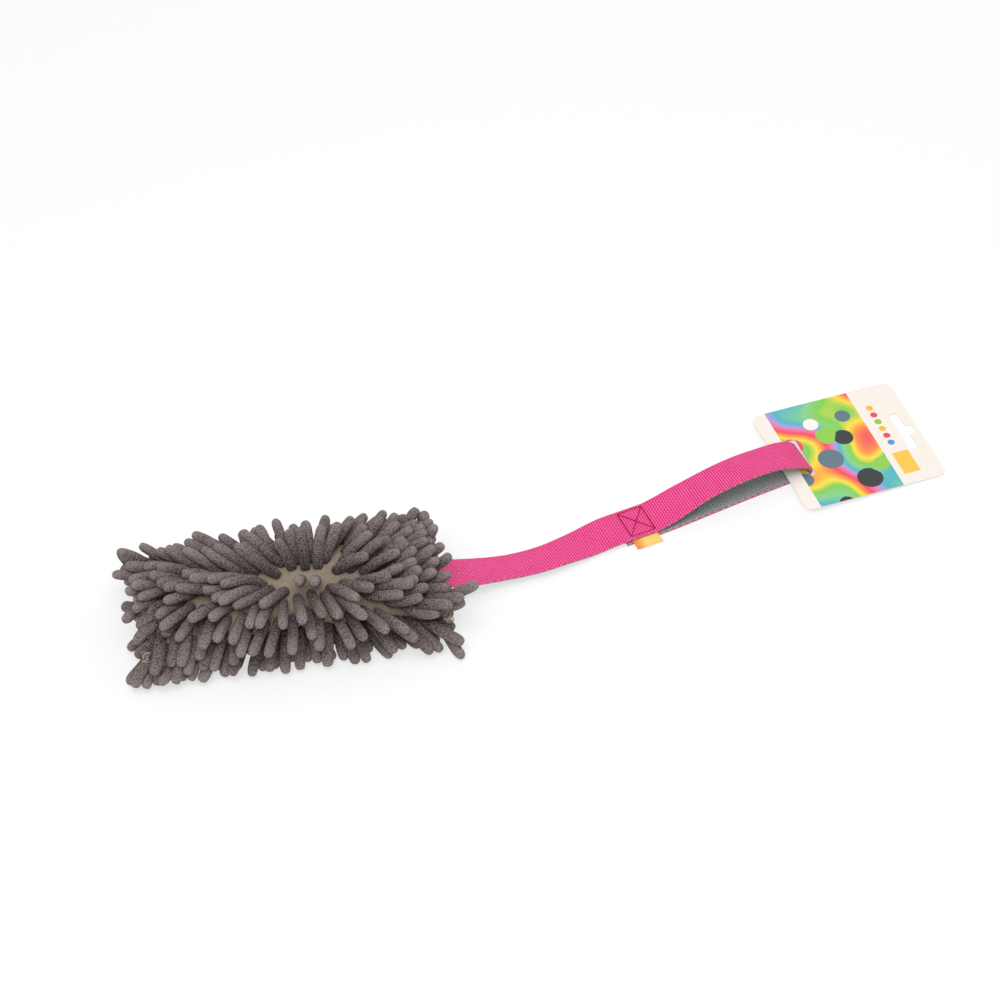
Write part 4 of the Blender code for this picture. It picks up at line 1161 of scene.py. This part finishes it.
class TUGTOY_OT_backing(bpy.types.Operator):
    """Adds the sleeve's knitted backing and its wadding"""

    bl_idname = "tugtoy.backing"
    bl_label = "Backing and wadding"

    def execute(self, context):
        make_backing(context.scene.tugtoy_noodles)
        return {"FINISHED"}


class TUGTOY_OT_noodles(bpy.types.Operator):
    """Adds the chenille noodles, settled under their own weight"""

    bl_idname = "tugtoy.noodles"
    bl_label = "Noodles"

    def execute(self, context):
        make_noodles(context.scene.tugtoy_noodles)
        return {"FINISHED"}


class TUGTOY_OT_seams(bpy.types.Operator):
    """Adds the overlocked end seams and the long seam"""

    bl_idname = "tugtoy.seams"
    bl_label = "Seams"

    def execute(self, context):
        make_seams()
        return {"FINISHED"}


class TUGTOY_OT_webbing(bpy.types.Operator):
    """Adds the webbing strap with its hand loop"""

    bl_idname = "tugtoy.webbing"
    bl_label = "Webbing"

    def execute(self, context):
        make_webbing(context.scene.tugtoy_webbing)
        return {"FINISHED"}


class TUGTOY_OT_stitches(bpy.types.Operator):
    """Adds the box-and-cross stitch and the rows across the strap's tail"""

    bl_idname = "tugtoy.stitches"
    bl_label = "Stitches"

    def execute(self, context):
        make_stitches(context.scene.tugtoy_webbing)
        return {"FINISHED"}


class TUGTOY_OT_label(bpy.types.Operator):
    """Adds the folded side label"""

    bl_idname = "tugtoy.label"
    bl_label = "Side label"

    def execute(self, context):
        make_label(context.scene.tugtoy_webbing)
        return {"FINISHED"}


class TUGTOY_OT_card(bpy.types.Operator):
    """Gives the hang card its board and print"""

    bl_idname = "tugtoy.card"
    bl_label = "Hang card"

    def execute(self, context):
        make_card()
        return {"FINISHED"}


OPERATORS = (
    TUGTOY_OT_stage, TUGTOY_OT_backing, TUGTOY_OT_noodles, TUGTOY_OT_seams,
    TUGTOY_OT_webbing, TUGTOY_OT_stitches, TUGTOY_OT_label, TUGTOY_OT_card,
)
GROUPS = {"tugtoy_noodles": TugToyNoodles, "tugtoy_webbing": TugToyWebbing, "tugtoy_stage": TugToyStage}


class TUGTOY_PT_panel(bpy.types.Panel):
    """Lists the toy's pieces and their settings"""

    bl_label = "Tug Toy"
    bl_space_type = "VIEW_3D"
    bl_region_type = "UI"
    bl_category = "Tug Toy"

    def draw(self, context):
        for operator in OPERATORS:
            self.layout.operator(operator.bl_idname)
        for name, group in GROUPS.items():
            box = self.layout.box()
            for key in group.__annotations__:
                box.prop(getattr(context.scene, name), key)


def register():
    """Adds the classes, and the settings to the scene."""
    for name, group in GROUPS.items():
        bpy.utils.register_class(group)
        setattr(bpy.types.Scene, name, bpy.props.PointerProperty(type=group))
    for item in (*OPERATORS, TUGTOY_PT_panel):
        bpy.utils.register_class(item)


def unregister():
    """Takes the classes and the settings away again."""
    for item in (TUGTOY_PT_panel, *reversed(OPERATORS)):
        bpy.utils.unregister_class(item)
    for name, group in GROUPS.items():
        delattr(bpy.types.Scene, name)
        bpy.utils.unregister_class(group)


def main():
    """Builds the whole toy in order."""
    for item in list(bpy.data.objects):
        if item.name in ("Cube", "Light", "Camera"):
            bpy.data.objects.remove(item)
    register()
    for operator in OPERATORS:
        group, name = operator.bl_idname.split(".")
        getattr(getattr(bpy.ops, group), name)()


if __name__ == "__main__":
    main()
